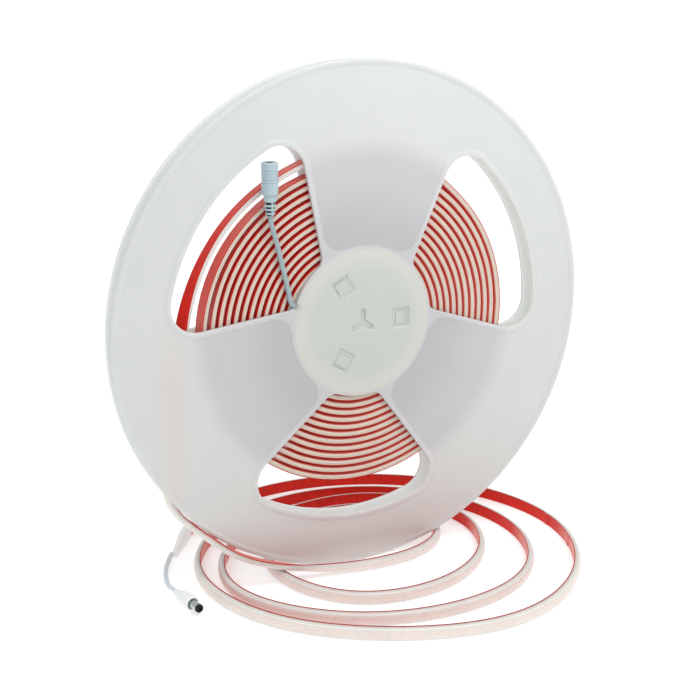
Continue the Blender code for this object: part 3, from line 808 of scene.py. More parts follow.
def spiral_recipe(ripple_rate: float = 1.7, ripple_share: float = 0.4) -> Recipe:
    """Make the tree that sweeps a section along a wound spiral.

    Args:
        ripple_rate: how fast the uneven lay of the turns changes, for each radian.
        ripple_share: how much of its sideways wander a turn also has in its radius.

    Returns:
        A tree whose geometry input is the section, a closed loop with X outwards and Y along the reel's axis.
    """
    recipe = Recipe(
        "wind_round_barrel",
        Turns=11.0,
        Steps=900,
        Start_Turn=0.0,
        Start_Radius=0.05,
        Pitch=0.005,
        Slack=0.0,
        Slack_Turn=0.0,
        Second_Slack=0.0,
        Inner_Radius=0.039,
        Inner_Turns=3.8,
        Rise=1.0,
        Run_Out=0.0,
        Run_Out_Reach=0.7,
        Loose=0.0,
        Loose_Turn=0.0,
        Loose_Reach=1.0,
        Loose_Tilt=0.0,
        Wander=0.0,
        Wander_Seed=1.0,
    )
    m, given = recipe.math, recipe.value
    path = recipe.add("GeometryNodeMeshLine", Count=given("Steps"))
    index = recipe.add("GeometryNodeInputIndex").outputs[0]
    share = m("DIVIDE", index, m("SUBTRACT", given("Steps"), 1.0))
    whole = m("MULTIPLY", given("Turns"), FULL_TURN)
    wound = m("MULTIPLY", share, whole)
    angle = m("ADD", wound, given("Start Turn"))
    grown = m("MULTIPLY_ADD", m("MULTIPLY", share, given("Turns")), given("Pitch"), given("Start Radius"))
    lean = m("SUBTRACT", 1.0, m("COSINE", m("SUBTRACT", angle, given("Slack Turn"))))
    slack = m("MULTIPLY_ADD", lean, given("Slack"), grown)
    slack = m("MULTIPLY_ADD", m("COSINE", m("MULTIPLY", angle, 2.0)), given("Second Slack"), slack)
    leaving = m("SUBTRACT", whole, given("Run Out Reach"))
    run_out = recipe.ease(wound, leaving, whole, 0.0, given("Run Out"))
    from_loose = m("ABSOLUTE", m("SUBTRACT", angle, given("Loose Turn")))
    loose = recipe.ease(from_loose, 0.0, given("Loose Reach"), 1.0, 0.0)
    outward = m("MULTIPLY_ADD", loose, given("Loose"), run_out)
    along = recipe.add("ShaderNodeCombineXYZ", X=m("MULTIPLY", wound, ripple_rate), Y=given("Wander Seed"))
    noise = recipe.add("ShaderNodeTexNoise", Vector=along.outputs[0], Scale=1.0, Detail=1.0)
    sway = m("MULTIPLY", m("SUBTRACT", noise.outputs["Fac"], 0.5), given("Wander"))
    free_radius = m("ADD", m("MULTIPLY_ADD", sway, ripple_share, slack), outward)
    outside = recipe.ease(wound, given("Inner Turns"), m("ADD", given("Inner Turns"), given("Rise")))
    outer_share = m("MULTIPLY", outside, m("SUBTRACT", free_radius, given("Inner Radius")))
    radius = m("ADD", given("Inner Radius"), outer_share)
    settled = recipe.ease(wound, m("SUBTRACT", whole, 1.0), whole, 1.0, 0.0)
    calm = m("MULTIPLY", recipe.ease(wound, 0.0, 1.0), settled)
    spot = recipe.add(
        "ShaderNodeCombineXYZ",
        X=m("MULTIPLY", radius, m("COSINE", angle)),
        Y=m("MULTIPLY", radius, m("SINE", angle)),
        Z=m("MULTIPLY", sway, calm),
    )
    placed = recipe.add("GeometryNodeSetPosition", Geometry=path.outputs[0], Position=spot.outputs[0])
    line = recipe.add("GeometryNodeMeshToCurve", Mesh=placed.outputs[0])
    tilt = m("MULTIPLY", loose, given("Loose Tilt"))
    rolled = recipe.add("GeometryNodeSetCurveTilt", Curve=line.outputs[0], Tilt=tilt)
    upright = recipe.add("GeometryNodeSetCurveNormal", {"mode": "Z_UP"}, Curve=rolled.outputs[0])
    section = recipe.add("GeometryNodeMeshToCurve", Mesh=given("Geometry"))
    swept = recipe.sweep(upright.outputs[0], section.outputs[0])
    stood = recipe.add("GeometryNodeTransform", Geometry=swept, Rotation=(math.pi / 2, 0, 0))
    stood.inputs["Translation"].default_value = (0, 0, AXIS_HEIGHT)
    recipe.close(stood.outputs[0])
    return recipe


def tube_recipe() -> Recipe:
    """Make the tree that draws a round sheath along a line of points.

    Returns:
        A tree whose geometry input is the line.
    """
    recipe = Recipe("sheathe_line", Radius=0.001, Sides=24)
    given = recipe.value
    line = recipe.add("GeometryNodeMeshToCurve", Mesh=given("Geometry"))
    ring = recipe.add("GeometryNodeCurvePrimitiveCircle", Resolution=given("Sides"), Radius=given("Radius"))
    recipe.close(recipe.sweep(line.outputs[0], ring.outputs[0]))
    return recipe


def ring_of_recipe() -> Recipe:
    """Make the tree that repeats a piece at equal turns round the reel's axis.

    Returns:
        A tree whose geometry input is the piece.
    """
    recipe = Recipe("repeat_round_axis", Count=3)
    given = recipe.value
    points = recipe.add("GeometryNodeMeshLine", Count=given("Count"), Offset=(0, 0, 0))
    to_points = recipe.add("GeometryNodeMeshToPoints", Mesh=points.outputs[0])
    step = recipe.math("DIVIDE", FULL_TURN, given("Count"))
    turn = recipe.math("MULTIPLY", recipe.add("GeometryNodeInputIndex").outputs[0], step)
    rotation = recipe.add("ShaderNodeCombineXYZ", Y=turn).outputs[0]
    placed = recipe.add("GeometryNodeSetPosition", Geometry=to_points.outputs[0], Offset=(0, 0, AXIS_HEIGHT))
    recipe.close(recipe.repeat(placed.outputs[0], Rotation=rotation))
    return recipe


def stack_recipe() -> Recipe:
    """Make the tree that stacks a ring along +Z, each one wider than the last.

    Returns:
        A tree whose geometry input is the ring.
    """
    recipe = Recipe("stack_ribs", Count=3, Pitch=0.003, Start=0.0, First_Width=0.8, Last_Width=1.0)
    given = recipe.value
    index = recipe.add("GeometryNodeInputIndex").outputs[0]
    points = recipe.add("GeometryNodeMeshLine", Count=given("Count"))
    height = recipe.math("MULTIPLY_ADD", index, given("Pitch"), given("Start"))
    place = recipe.add("ShaderNodeCombineXYZ", Z=height).outputs[0]
    placed = recipe.add("GeometryNodeSetPosition", Geometry=points.outputs[0], Position=place)
    width = recipe.add(
        "ShaderNodeMapRange",
        Value=index,
        From_Max=recipe.math("SUBTRACT", given("Count"), 1.0),
        To_Min=given("First Width"),
        To_Max=given("Last Width"),
    )
    size = recipe.add("ShaderNodeCombineXYZ", X=width.outputs[0], Y=width.outputs[0], Z=1.0)
    recipe.close(recipe.repeat(placed.outputs[0], Scale=size.outputs[0]))
    return recipe


@dataclass
class Studio:
    """Camera, pale floor and soft light."""

    azimuth: float = math.radians(-27.207)
    elevation: float = math.radians(16.4965)
    distance: float = 0.8667
    right: float = -4.77 * MM
    up: float = -19.5 * MM
    lens: float = 69.507
    sensor: float = 36.0
    floor_radius: float = 30.0
    floor_tone: Colour = (0.86, 0.86, 0.86)
    floor_glow: float = 0.34
    sky: float = 0.72
    backdrop: float = 1.05
    key: float = 0.55
    key_spread: float = math.radians(70)
    key_from: Point3 = (-0.25, -0.3, 1.0)
    box_power: float = 1.05
    box_size: float = 0.3
    box_place: Point3 = (0.12, -0.26, 0.6)
    floor_facets: int = 96
    floor_roughness: float = 0.9
    floor_reflectance: float = 0.1

    def camera(self) -> None:
        """Stand the camera where the photograph was taken from."""
        level = math.cos(self.elevation)
        sine, cosine = math.sin(self.azimuth), math.cos(self.azimuth)
        back = Vector((sine * level, -cosine * level, math.sin(self.elevation)))
        aside = Vector((cosine, sine, 0))
        data = bpy.data.cameras.new("camera")
        data.lens = self.lens
        data.sensor_width = self.sensor
        data.clip_end = 2 * self.floor_radius
        thing = link("camera", data)
        axis = Vector((0, 0, AXIS_HEIGHT))
        thing.location = axis + back * self.distance + aside * self.right + back.cross(aside) * self.up
        thing.rotation_euler = (-back).to_track_quat("-Z", "Y").to_euler()
        bpy.context.scene.camera = thing

    def floor(self) -> None:
        """Lay the floor."""
        bm = bmesh.new()
        bmesh.ops.create_circle(bm, cap_ends=True, radius=self.floor_radius, segments=self.floor_facets)
        mesh = mesh_from("floor", bm)
        work = Paintwork("floor")
        for label, value in (
            ("Base Color", (*self.floor_tone, 1)),
            ("Roughness", self.floor_roughness),
            ("Specular IOR Level", self.floor_reflectance),
            ("Emission Color", (*WHITE, 1)),
            ("Emission Strength", self.floor_glow),
        ):
            work.shader.inputs[label].default_value = value
        mesh.materials.append(work.material)
        link("floor", mesh)

    def lights(self) -> None:
        """Hang the soft lights."""
        world = bpy.data.worlds.new("sky")
        world.use_nodes = True
        background = world.node_tree.nodes["Background"]
        background.inputs["Color"].default_value = (*WHITE, 1)
        net = Net(world.node_tree)
        seen = net.add("ShaderNodeLightPath").outputs["Is Camera Ray"]
        strength = net.math("MULTIPLY_ADD", seen, self.backdrop - self.sky, self.sky)
        net.feed(background.inputs["Strength"], strength)
        bpy.context.scene.world = world
        key = bpy.data.lights.new("key", "SUN")
        key.energy = self.key
        key.angle = self.key_spread
        link("key", key).rotation_euler = Vector(self.key_from).to_track_quat("Z", "Y").to_euler()
        box = bpy.data.lights.new("softbox", "AREA")
        box.energy = self.box_power
        box.size = self.box_size
        thing = link("softbox", box)
        thing.location = self.box_place
        from_axis = thing.location - Vector((0, 0, AXIS_HEIGHT))
        thing.rotation_euler = from_axis.to_track_quat("Z", "Y").to_euler()

    def build(self) -> None:
        """Set up the whole studio."""
        bpy.context.scene.view_settings.view_transform = "Standard"
        self.camera()
        self.floor()
        self.lights()


@dataclass(frozen=True)
class StripSection:
    """The strip's section: X towards the liner, Y along its width."""

    width: float = 8 * MM
    thickness: float = 4.4 * MM
    film: float = 0.5 * MM
    film_inset: float = 0.15 * MM
    film_overhang: float = 0.28 * MM
    shoulder: float = 1.5 * MM
    corner: float = 0.3 * MM
    corner_round: float = 0.3
    dome_steps: int = 14
    film_points: int = 5

    def jacket(self) -> np.ndarray:
        """Work out the jacket's outline: a flat back, two short sides and a domed face.

        Returns:
            One row for each point.
        """
        half = self.width / 2
        back = self.thickness / 2 - self.film
        edge = back - self.shoulder
        rise = edge + self.thickness / 2
        angles = np.linspace(0, math.pi, self.dome_steps + 1)
        dome = [(edge - rise * math.sin(a), half * math.cos(a)) for a in angles]
        cut, nip = self.corner, self.corner * self.corner_round
        top = [(back, 0.0), (back, half - cut), (back - nip, half - nip), (back - cut, half)]
        low = [(x, -y) for x, y in top[:0:-1]]
        return np.array(top + dome + low)

    def liner(self) -> np.ndarray:
        """Work out the film's outline, a thin band on the jacket's back.

        Returns:
            One row for each point.
        """
        low, high = self.film_inset - self.width / 2, self.film_overhang + self.width / 2
        front = self.thickness / 2
        rows = [(front, y) for y in np.linspace(low, high, self.film_points)]
        return np.array(rows + [(front - self.film, y) for y in np.linspace(high, low, self.film_points)])

    def marks(self, outline: np.ndarray) -> dict[str, np.ndarray]:
        """Work out where each point lies in the section, for the finishes to read.

        Args:
            outline: the jacket's outline or the liner's.

        Returns:
            Its place across the width, -1 to 1, and through the thickness, 0 at the dome.
        """
        return {
            "across": outline[:, 1] / (self.width / 2),
            "depth": (outline[:, 0] + self.thickness / 2) / (self.thickness - self.film),
        }


@dataclass
class FreeStrip:
    """The strip's free run: off the reel, over its rim and in loops on the floor."""

    section: StripSection
    stations: int = 1100
    floor_gap: float = 0.05 * MM
    route: tuple[tuple[float, float, float, float], ...] = (
        (0.0114, 0, 0.273, 0),
        (0.0025, 0, 0.2736, 0),
        (-0.026, 0, 0.2705, 0),
        (-0.057, 0, 0.2587, 0),
        (-0.083, 0, 0.24, 0),
        (-0.1035, 0, 0.2135, 8),
        (-0.1165, 0, 0.1812, 30),
        (-0.1225, 0, 0.148, 66),
        (-0.1275, 0, 0.115, 112),
        (-0.132, 0, 0.084, 158),
        (-0.1323, 0, 0.068, 174),
        (-0.1257, -0.0008, 0.054, 180),
        (-0.1115, -0.0055, 0.0396, 182),
        (-0.092, -0.0108, 0.024, 184),
        (-0.062, -0.0155, 0.0118, 192),
        (-0.028, -0.021, 0.0054, 222),
        (0.012, -0.0262, 0.0048, 240),
        (0.046, -0.0175, 0.0045, 256),
        (0.063, 0, 0.0042, 266),
        (0.066, 0.03, 0.0041, 270),
        (0.018, 0.066, 0.0041, 270),
        (-0.046, 0.042, 0.0041, 270),
        (-0.0625, -0.014, 0.0041, 270),
        (-0.034, -0.063, 0.0041, 270),
        (0.022, -0.0718, 0.0041, 270),
        (0.074, -0.0395, 0.0041, 270),
        (0.091, 0.02, 0.0041, 270),
        (0.048, 0.0765, 0.0041, 270),
        (-0.014, 0.0795, 0.0041, 270),
        (-0.077, 0.041, 0.0041, 270),
        (-0.0975, -0.018, 0.0041, 270),
        (-0.062, -0.077, 0.0041, 270),
        (0.006, -0.1035, 0.0041, 270),
        (0.076, -0.086, 0.0041, 270),
        (0.114, -0.02, 0.0041, 270),
        (0.09, 0.06, 0.0041, 270),
        (0.012, 0.1, 0.0041, 270),
        (-0.066, 0.077, 0.0041, 270),
        (-0.1095, 0.008, 0.0041, 270),
        (-0.094, -0.063, 0.0041, 270),
        (-0.034, -0.115, 0.0041, 270),
        (0.044, -0.132, 0.0041, 270),
        (0.116, -0.09, 0.0041, 270),
        (0.1455, -0.01, 0.0041, 270),
        (0.108, 0.078, 0.0041, 270),
        (0.02, 0.1235, 0.0041, 270),
        (-0.058, 0.11, 0.0041, 270),
        (-0.0855, 0.088, 0.0041, 270),
        (-0.091, 0.0805, 0.0041, 270),
    )
    buckles: tuple[Point3, ...] = ((2.264, 0.6 * MM, 1.8 * MM), (2.301, 0.6 * MM, 1.8 * MM))
    path_step: int = 2
    middles: np.ndarray = field(init=False, repr=False)

    def frames(self) -> tuple[np.ndarray, np.ndarray, np.ndarray]:
        """Work out how the strip lies along its route.

        Returns:
            The middles, the directions of the strip's edge and the directions of its liner.
        """
        rows = smooth_route(self.route, np.linspace(0, 1, self.stations))
        middles, turns = rows[:, :3], np.radians(rows[:, 3])
        flat = turns < math.pi
        rise = -np.sin(turns)
        edges = np.stack([np.where(flat, rise, 0), np.cos(turns), np.where(flat, 0, rise)], axis=1)
        tangents = np.gradient(middles, axis=0)
        tangents /= np.linalg.norm(tangents, axis=1)[:, None]
        edges -= tangents * np.sum(edges * tangents, axis=1)[:, None]
        edges /= np.linalg.norm(edges, axis=1)[:, None]
        liners = np.cross(edges, tangents)
        half = np.array((self.section.width, self.section.thickness)) / 2
        reach = np.abs(edges[:, 2]) * half[0] + np.abs(liners[:, 2]) * half[1]
        middles[:, 2] = np.maximum(middles[:, 2], reach + self.floor_gap)
        return middles, edges, liners

    def lifts(self, middles: np.ndarray) -> np.ndarray:
        """Work out how far the liner stands off the jacket, at its buckles.

        Args:
            middles: the middles of the stations.

        Returns:
            The gap at each station.
        """
        travelled = np.concatenate([[0], np.cumsum(np.linalg.norm(np.diff(middles, axis=0), axis=1))])
        lift = np.zeros(len(middles))
        for place, height, reach in self.buckles:
            lift += height * np.exp(-(((travelled - place) / reach) ** 2))
        return lift

    def build(self, jacket: Material, film: Material, cap: "EndCap") -> Piece:
        """Args:
            jacket: the silicone's finish.
            film: the liner's finish.
            cap: the cap at the free end, which is made after the strip.

        Returns:
            The jacket's object.
        """
        self.middles, edges, liners = self.frames()
        lift = self.lifts(self.middles)
        pieces = {}
        for name, outline, off in (
            ("strip_jacket", self.section.jacket(), 0 * lift),
            ("strip_liner", self.section.liner(), lift),
        ):
            rings = [
                middle + (outline[:, :1] + away) * liner + outline[:, 1:] * edge
                for middle, edge, liner, away in zip(self.middles, edges, liners, off)
            ]
            pieces[name] = skin(name, rings, self.section.marks(outline))
        body = put(pieces["strip_jacket"], jacket, "strip_silicone", "strip_run")
        liner = put(pieces["strip_liner"], film, "liner_film", "strip_run_liner")
        end = cap.build(self.middles)
        return body


@dataclass
class EndCap:
    """The moulded cap on the strip's free end, which tapers to the lead that leaves it."""

    finish: Material
    length: float = 34 * MM
    height: float = 9.2 * MM
    thickness: float = 5.6 * MM
    gap: float = 0.3 * MM
    floor_gap: float = 0.05 * MM
    ring_points: int = 48
    stations: int = 60
    sections: tuple[tuple[float, float, float, float], ...] = (
        (0.0, 0.94, 0.92, 6.0),
        (0.02, 1.0, 1.0, 6.0),
        (0.38, 1.0, 1.0, 6.0),
        (0.55, 0.86, 0.95, 4.0),
        (0.75, 0.68, 0.88, 3.0),
        (0.97, 0.53, 0.86, 2.2),
        (1.0, 0.48, 0.8, 2.0),
    )

    def size_at(self, share: float) -> Point3:
        """Read the section at a share of the length.

        Args:
            share: 0 at the strip, 1 at the lead.

        Returns:
            Its height, its thickness and how square it is.
        """
        shares, heights, widths, squares = zip(*self.sections)
        height, width, square = (float(np.interp(share, shares, row)) for row in (heights, widths, squares))
        return height * self.height, width * self.thickness, square

    def build(self, strip: np.ndarray) -> Piece:
        """Loft the cap from the strip's last points on.

        Args:
            strip: the middles of the strip's stations.

        Returns:
            The cap's object.
        """
        heading = strip[-1] - strip[-2]
        heading[2] = 0
        heading /= np.linalg.norm(heading)
        up = np.array((0, 0, 1.0))
        aside = np.cross(up, heading)
        start = strip[-1] + heading * self.gap
        start[2] = 0
        angles = np.linspace(0, FULL_TURN, self.ring_points, endpoint=False)
        rings = []
        for share in np.linspace(0, 1, self.stations):
            height, thickness, square = self.size_at(float(share))
            across = np.sign(np.cos(angles)) * np.abs(np.cos(angles)) ** (2 / square) * thickness / 2
            along = np.sign(np.sin(angles)) * np.abs(np.sin(angles)) ** (2 / square) * height / 2
            middle = start + heading * self.length * share + up * (height / 2 + self.floor_gap)
            rings.append(middle + across[:, None] * aside + along[:, None] * up)
        return put(skin("end_cap", rings), self.finish, "white_moulding", "strip_end_cap")


@dataclass
class Lead:
    """One round lead along its route."""

    name: str
    node: str
    route: tuple[Point3, ...]
    diameter: float = 3 * MM
    stations: int = 160

    def build(self, finish: Material, recipe: Recipe, far_end: str, pieces: list[Piece]) -> None:
        """Args:
            finish: the sheath's finish.
            recipe: the tree that draws a sheath along a line.
            pieces: the pieces on that end; not used.
        """
        points = smooth_route(self.route, np.linspace(0, 1, self.stations))
        mesh = bpy.data.meshes.new(self.name)
        mesh.from_pydata(points.tolist(), [(i, i + 1) for i in range(len(points) - 1)], [])
        sheath = recipe.run(link(self.name, mesh), finish, Radius=self.diameter / 2)
        sheath.data.set_sharp_from_angle(angle=TURNED_CREASE)
        put(sheath, finish, "lead_sheath", self.node)


@dataclass
class WoundStrip:
    """The strip wound round the barrel, slack on the side away from where it was pulled tight."""

    section: StripSection
    tight_turn: float = math.radians(42.5)
    start_turn: float = math.radians(-502)
    end_turn: float = math.radians(84)
    full_turns: int = 11
    inner_radius: float = 39.0 * MM
    inner_reach: float = math.radians(215)
    rise_reach: float = math.radians(57)
    pitch: float = 4.9 * MM
    first_radius: float = 48.9 * MM
    first_turn: float = math.radians(45)
    slack: float = 2.84 * MM
    second_slack: float = 0.95 * MM
    run_out: float = 5.5 * MM
    run_out_reach: float = math.radians(39)
    loose: float = 0.9 * MM
    loose_turn: float = math.radians(172)
    loose_reach: float = math.radians(70)
    loose_tilt: float = math.radians(-10)
    wander: float = 0.7 * MM
    steps_per_turn: int = 84
    seed: float = 4.0

    def build(self, jacket: Material, film: Material, recipe: Recipe) -> None:
        """Wind the jacket and its liner.

        Args:
            jacket: the silicone's finish.
            film: the liner's finish.
            recipe: the tree that sweeps a section along the spiral.
        """
        turns = (self.end_turn - self.start_turn) / FULL_TURN + self.full_turns
        start_radius = self.first_radius + self.pitch * (self.start_turn - self.first_turn) / FULL_TURN
        for name, outline, finish, slot, nodes in (
            ("wound_jacket", self.section.jacket(), jacket, "wound_strip", ["strip_coil"]),
            ("wound_liner", self.section.liner(), film, "liner_film", []),
        ):
            mesh = bpy.data.meshes.new(name)
            loop = [(i, (i + 1) % len(outline)) for i in range(len(outline))]
            mesh.from_pydata([(*row, 0) for row in outline.tolist()], loop, [])
            for label, values in self.section.marks(outline).items():
                mark = mesh.attributes.new(label, "FLOAT", "POINT")
                mark.data.foreach_set("value", values.astype(np.float32))
            coil = recipe.run(
                link(name, mesh),
                finish,
                Turns=turns,
                Steps=int(turns * self.steps_per_turn),
                Start_Turn=self.start_turn,
                Start_Radius=start_radius,
                Pitch=self.pitch,
                Slack=self.slack,
                Slack_Turn=self.tight_turn,
                Second_Slack=self.second_slack,
                Inner_Radius=self.inner_radius,
                Inner_Turns=self.inner_reach,
                Rise=self.rise_reach,
                Run_Out=self.run_out,
                Run_Out_Reach=self.run_out_reach,
                Loose=self.loose,
                Loose_Turn=self.loose_turn + (self.full_turns - 1) * FULL_TURN,
                Loose_Reach=self.loose_reach,
                Loose_Tilt=self.loose_tilt,
                Wander=self.wander,
                Wander_Seed=self.seed,
            )
            coil.data.set_sharp_from_angle(angle=CREASE)
            put(coil, finish, slot, *nodes)


class Plate:
    """A flat moulding, put together from outlines at several depths outwards from the reel's middle plane."""

    def __init__(self, side: Side) -> None:
        """Start an empty plate that faces one side."""
        self.bm = bmesh.new()
        self.side = side

    def ring(self, outline: Outline, depth: float) -> Ring:
        """Place one outline at a depth."""
        return [self.bm.verts.new((x, -self.side.value * depth, AXIS_HEIGHT + y)) for x, y in outline]

    def wall(self, rings: Sequence[Ring]) -> None:
        """Join rings one after another.

        Args:
            rings: rings of equal length.
        """
        for low, high in zip(rings, rings[1:]):
            for i in range(len(low)):
                self.bm.faces.new((low[i - 1], low[i], high[i], high[i - 1])).smooth = True

    def flat(self, *rings: Ring) -> None:
        """Fill the area between rings.

        Args:
            *rings: rings in one plane.
        """
        edges = []
        for ring in rings:
            for i in range(len(ring)):
                pair = (ring[i - 1], ring[i])
                edges.append(self.bm.edges.get(pair) or self.bm.edges.new(pair))
        bmesh.ops.triangle_fill(self.bm, use_beauty=True, edges=edges)

    def close(self, name: str) -> Piece:
        """Turn the plate into an object whose faces point outwards."""
        bmesh.ops.recalc_face_normals(self.bm, faces=self.bm.faces)
        return link(name, mesh_from(name, self.bm))


@dataclass
class ReelHalf:
    """One half of the reel: a flange with three windows, a raised land round them and the hub."""

    side: Side
    radius: float = AXIS_HEIGHT / math.cos(math.pi / 288)
    inner: float = 4.6 * MM
    panel: float = 6.4 * MM
    land: float = 7.15 * MM
    hub_top: float = 7.6 * MM
    rim_steps: int = 288
    window_count: int = 3
    window_turn: float = math.radians(23.7)
    window_half: float = math.radians(42.6)
    window_apex: float = 28 * MM
    window_inner: float = 49 * MM
    window_outer: float = 130.4 * MM
    outer_corner: float = 17 * MM
    inner_corner: float = 8 * MM
    land_width: float = 3.3 * MM
    land_hub: float = 49.6 * MM
    land_fillet: float = 12 * MM
    hub_radius: float = 47.5 * MM
    sleeve_radius: float = 46.3 * MM
    sleeve_wall: float = 2.2 * MM
    sleeve_end: float = -4.3 * MM
    snap_circle: float = 27.6 * MM
    pocket: float = 13 * MM
    pocket_depth: float = 1.0 * MM
    pocket_ease: float = 1.9
    hole: Point2 = (7.2 * MM, 8.6 * MM)
    square_corner: float = 0.9 * MM
    star_arm: float = 9.0 * MM
    star_width: float = 4.2 * MM
    star_depth: float = 1.3 * MM
    star_arms: int = 3
    notch_turn: float = math.radians(161.5)
    notch: Point3 = (41.2 * MM, 52.2 * MM, 3.6 * MM)
    notch_depths: Point2 = (0.8 * MM, 7.05 * MM)
    cap_turn: float = math.radians(213)
    cap_slot: Point2 = (6.2 * MM, 8.0 * MM)
    cap_slot_spare: float = 6 * MM
    strip_turn: float = math.radians(106)
    strip_slot: Point3 = (16 * MM, 54 * MM, 8.9 * MM)
    strip_slot_reach: float = 43 * MM
    # Each step of a slope holds how far it lies outwards, in millimetres, and its share of the whole rise.
    land_slope: tuple[Point2, ...] = ((-1.2, 0.0), (-0.8, 0.08), (-0.2, 0.42), (0.5, 0.8), (1.2, 1.0))
    hub_slope: tuple[Point2, ...] = (
        (0.7, 0.0),
        (0.45, 0.04),
        (0.0, 0.16),
        (-0.9, 0.5),
        (-1.9, 0.82),
        (-2.7, 0.96),
        (-3.5, 1.0),
    )
    outer_steps: int = 30
    corner_steps: int = 20
    inner_corner_steps: int = 12
    inner_steps: int = 8
    fillet_steps: int = 16
    hub_arc_steps: int = 10
    square_steps: int = 5
    tip_steps: int = 8

    def rim(self, spread: float) -> Outline:
        """Return the rim, shrunk by spread."""
        start = -math.pi / 2 + math.pi / self.rim_steps
        return arc((0, 0), self.radius - spread, start, start + FULL_TURN, self.rim_steps)

    def corner(self, radius: float, reach: float) -> Point2:
        """Work out the middle of a window's corner.

        Args:
            radius: the corner's radius, which is how far inside the straight side its middle lies.
            reach: how far from the axis its middle lies.

        Returns:
            The middle, for the window that points along +X.
        """
        sine, cosine = math.sin(self.window_half), math.cos(self.window_half)
        apex = self.window_apex
        along = math.sqrt((apex * cosine) ** 2 - apex**2 - 2 * apex * radius * sine - radius**2 + reach**2)
        along -= apex * cosine
        return apex + along * cosine + radius * sine, along * sine - radius * cosine

    def outer_edge(self, spread: float) -> Outline:
        """Work out half a window's outline from the middle of its long edge round its outer corner.

        Args:
            spread: how far the outline has grown into the flange.

        Returns:
            The half outline, for the window that points along +X.
        """
        outer = self.corner(self.outer_corner, self.window_outer - self.outer_corner)
        angle = math.atan2(outer[1], outer[0])
        half = arc((0, 0), self.window_outer + spread, 0, angle, self.outer_steps)
        side = self.window_half + math.pi / 2
        return half + arc(outer, self.outer_corner + spread, angle, side, self.corner_steps, with_end=True)

    def window(self, index: int, spread: float) -> Outline:
        """Work out one window's outline.

        Args:
            index: which window.
            spread: how far the outline has grown into the flange.

        Returns:
            The closed outline.
        """
        inner = self.corner(self.inner_corner, self.window_inner + self.inner_corner)
        angle = math.atan2(inner[1], inner[0])
        side = self.window_half + math.pi / 2
        half = self.outer_edge(spread)
        half += arc(inner, self.inner_corner + spread, side, angle + math.pi, self.inner_corner_steps)
        half += arc((0, 0), self.window_inner - spread, angle, 0, self.inner_steps)
        whole = half + [(self.window_inner - spread, 0.0)] + [(x, -y) for x, y in half[:0:-1]]
        return turned(whole, self.window_turn + index * FULL_TURN / self.window_count)

    def lobes(self, spread: float) -> Outline:
        """Work out the one line round all windows and the hub, with a hollow fillet on each side of an arm.

        Args:
            spread: how far the line lies from the windows.

        Returns:
            The closed line.
        """
        change = spread - self.land_width
        hub, fillet = self.land_hub + change, self.land_fillet - change
        offset = self.window_apex * math.sin(self.window_half) - spread - fillet
        angle = self.window_half - math.asin(offset / (hub + fillet))
        middle = ((hub + fillet) * math.cos(angle), (hub + fillet) * math.sin(angle))
        half = self.outer_edge(spread)
        half += arc(middle, fillet, self.window_half - math.pi / 2, angle - math.pi, self.fillet_steps)
        half += arc((0, 0), hub, angle, FULL_TURN / self.window_count / 2, self.hub_arc_steps, with_end=True)
        lobe = [(x, -y) for x, y in half[-2:0:-1]] + half
        points = []
        for index in range(self.window_count):
            points += turned(lobe, self.window_turn + index * FULL_TURN / self.window_count)
        return points

    def square(self, index: int, size: Point2, spread: float) -> Outline:
        """Work out a rounded rectangle on the snap circle.

        Args:
            index: which one, counted round the axis.
            size: its sides.
            spread: how far it has grown.

        Returns:
            The closed outline.
        """
        corner = self.square_corner
        x, y = size[0] / 2 - corner, size[1] / 2 - corner
        points = []
        for quarter, place in enumerate(((x, y), (-x, y), (-x, -y), (x, -y))):
            start = quarter * math.pi / 2
            middle = (self.snap_circle + place[0], place[1])
            end = start + math.pi / 2
            points += arc(middle, corner + spread, start, end, self.square_steps, with_end=True)
        return turned(points, index * FULL_TURN / self.window_count)

    def star(self, spread: float) -> Outline:
        """Work out the three-armed mark in the middle of the hub.

        Args:
            spread: how far it has grown.

        Returns:
            The closed outline.
        """
        half = self.star_width / 2
        between = math.pi / self.star_arms
        pit = (half + spread) / math.sin(between)
        root = (pit * math.cos(between), pit * math.sin(between))
        tip_middle = (self.star_arm - half, 0)
        tip = arc(tip_middle, half + spread, -math.pi / 2, math.pi / 2, self.tip_steps, with_end=True)
        points = []
        for index in range(self.star_arms):
            points += turned(tip + [root], math.pi / 2 + index * FULL_TURN / self.star_arms)
        return points

    def edge_rings(self, plate: Plate, outline: Grown) -> tuple[Ring, Ring]:
        """Build the rounded edge of the rim or of a window.

        Args:
            plate: the plate being built.
            outline: a function of the spread that returns the outline.

        Returns:
            The edge's ring on the inner face and its ring on the land.
        """
        # Each row holds how far the ring lies out of the opening, in millimetres, and its depth.
        steps = (
            (0.45, self.inner),
            (0.12, self.inner + 0.1 * MM),
            (0.0, self.inner + 0.4 * MM),
            (0.0, self.land - 0.5 * MM),
            (0.13, self.land - 0.15 * MM),
            (0.5, self.land),
        )
        rings = [plate.ring(outline(spread * MM), depth) for spread, depth in steps]
        plate.wall(rings)
        return rings[0], rings[-1]

    def land_rings(self, plate: Plate, outline: Grown) -> list[Ring]:
        """Build the slope between the land and the panel.

        Args:
            plate: the plate being built.
            outline: a function of the spread that returns the outline.

        Returns:
            The slope's rings, the land's first.
        """
        fall = self.land - self.panel
        rings = [
            plate.ring(outline(self.land_width + across * MM), self.land - share * fall)
            for across, share in self.land_slope
        ]
        plate.wall(rings)
        return rings

    def sink(self, plate: Plate, outline: Grown, floor: float, ease: float = 1.0) -> tuple[Ring, Ring]:
        """Build the wall of a recess in the hub.

        Args:
            plate: the plate being built.
            outline: a function of the spread that returns the outline.
            floor: the depth of the recess's floor.
            ease: how many times wider the rounding is than a sharp recess's.

        Returns:
            The upper ring and the lower one.
        """
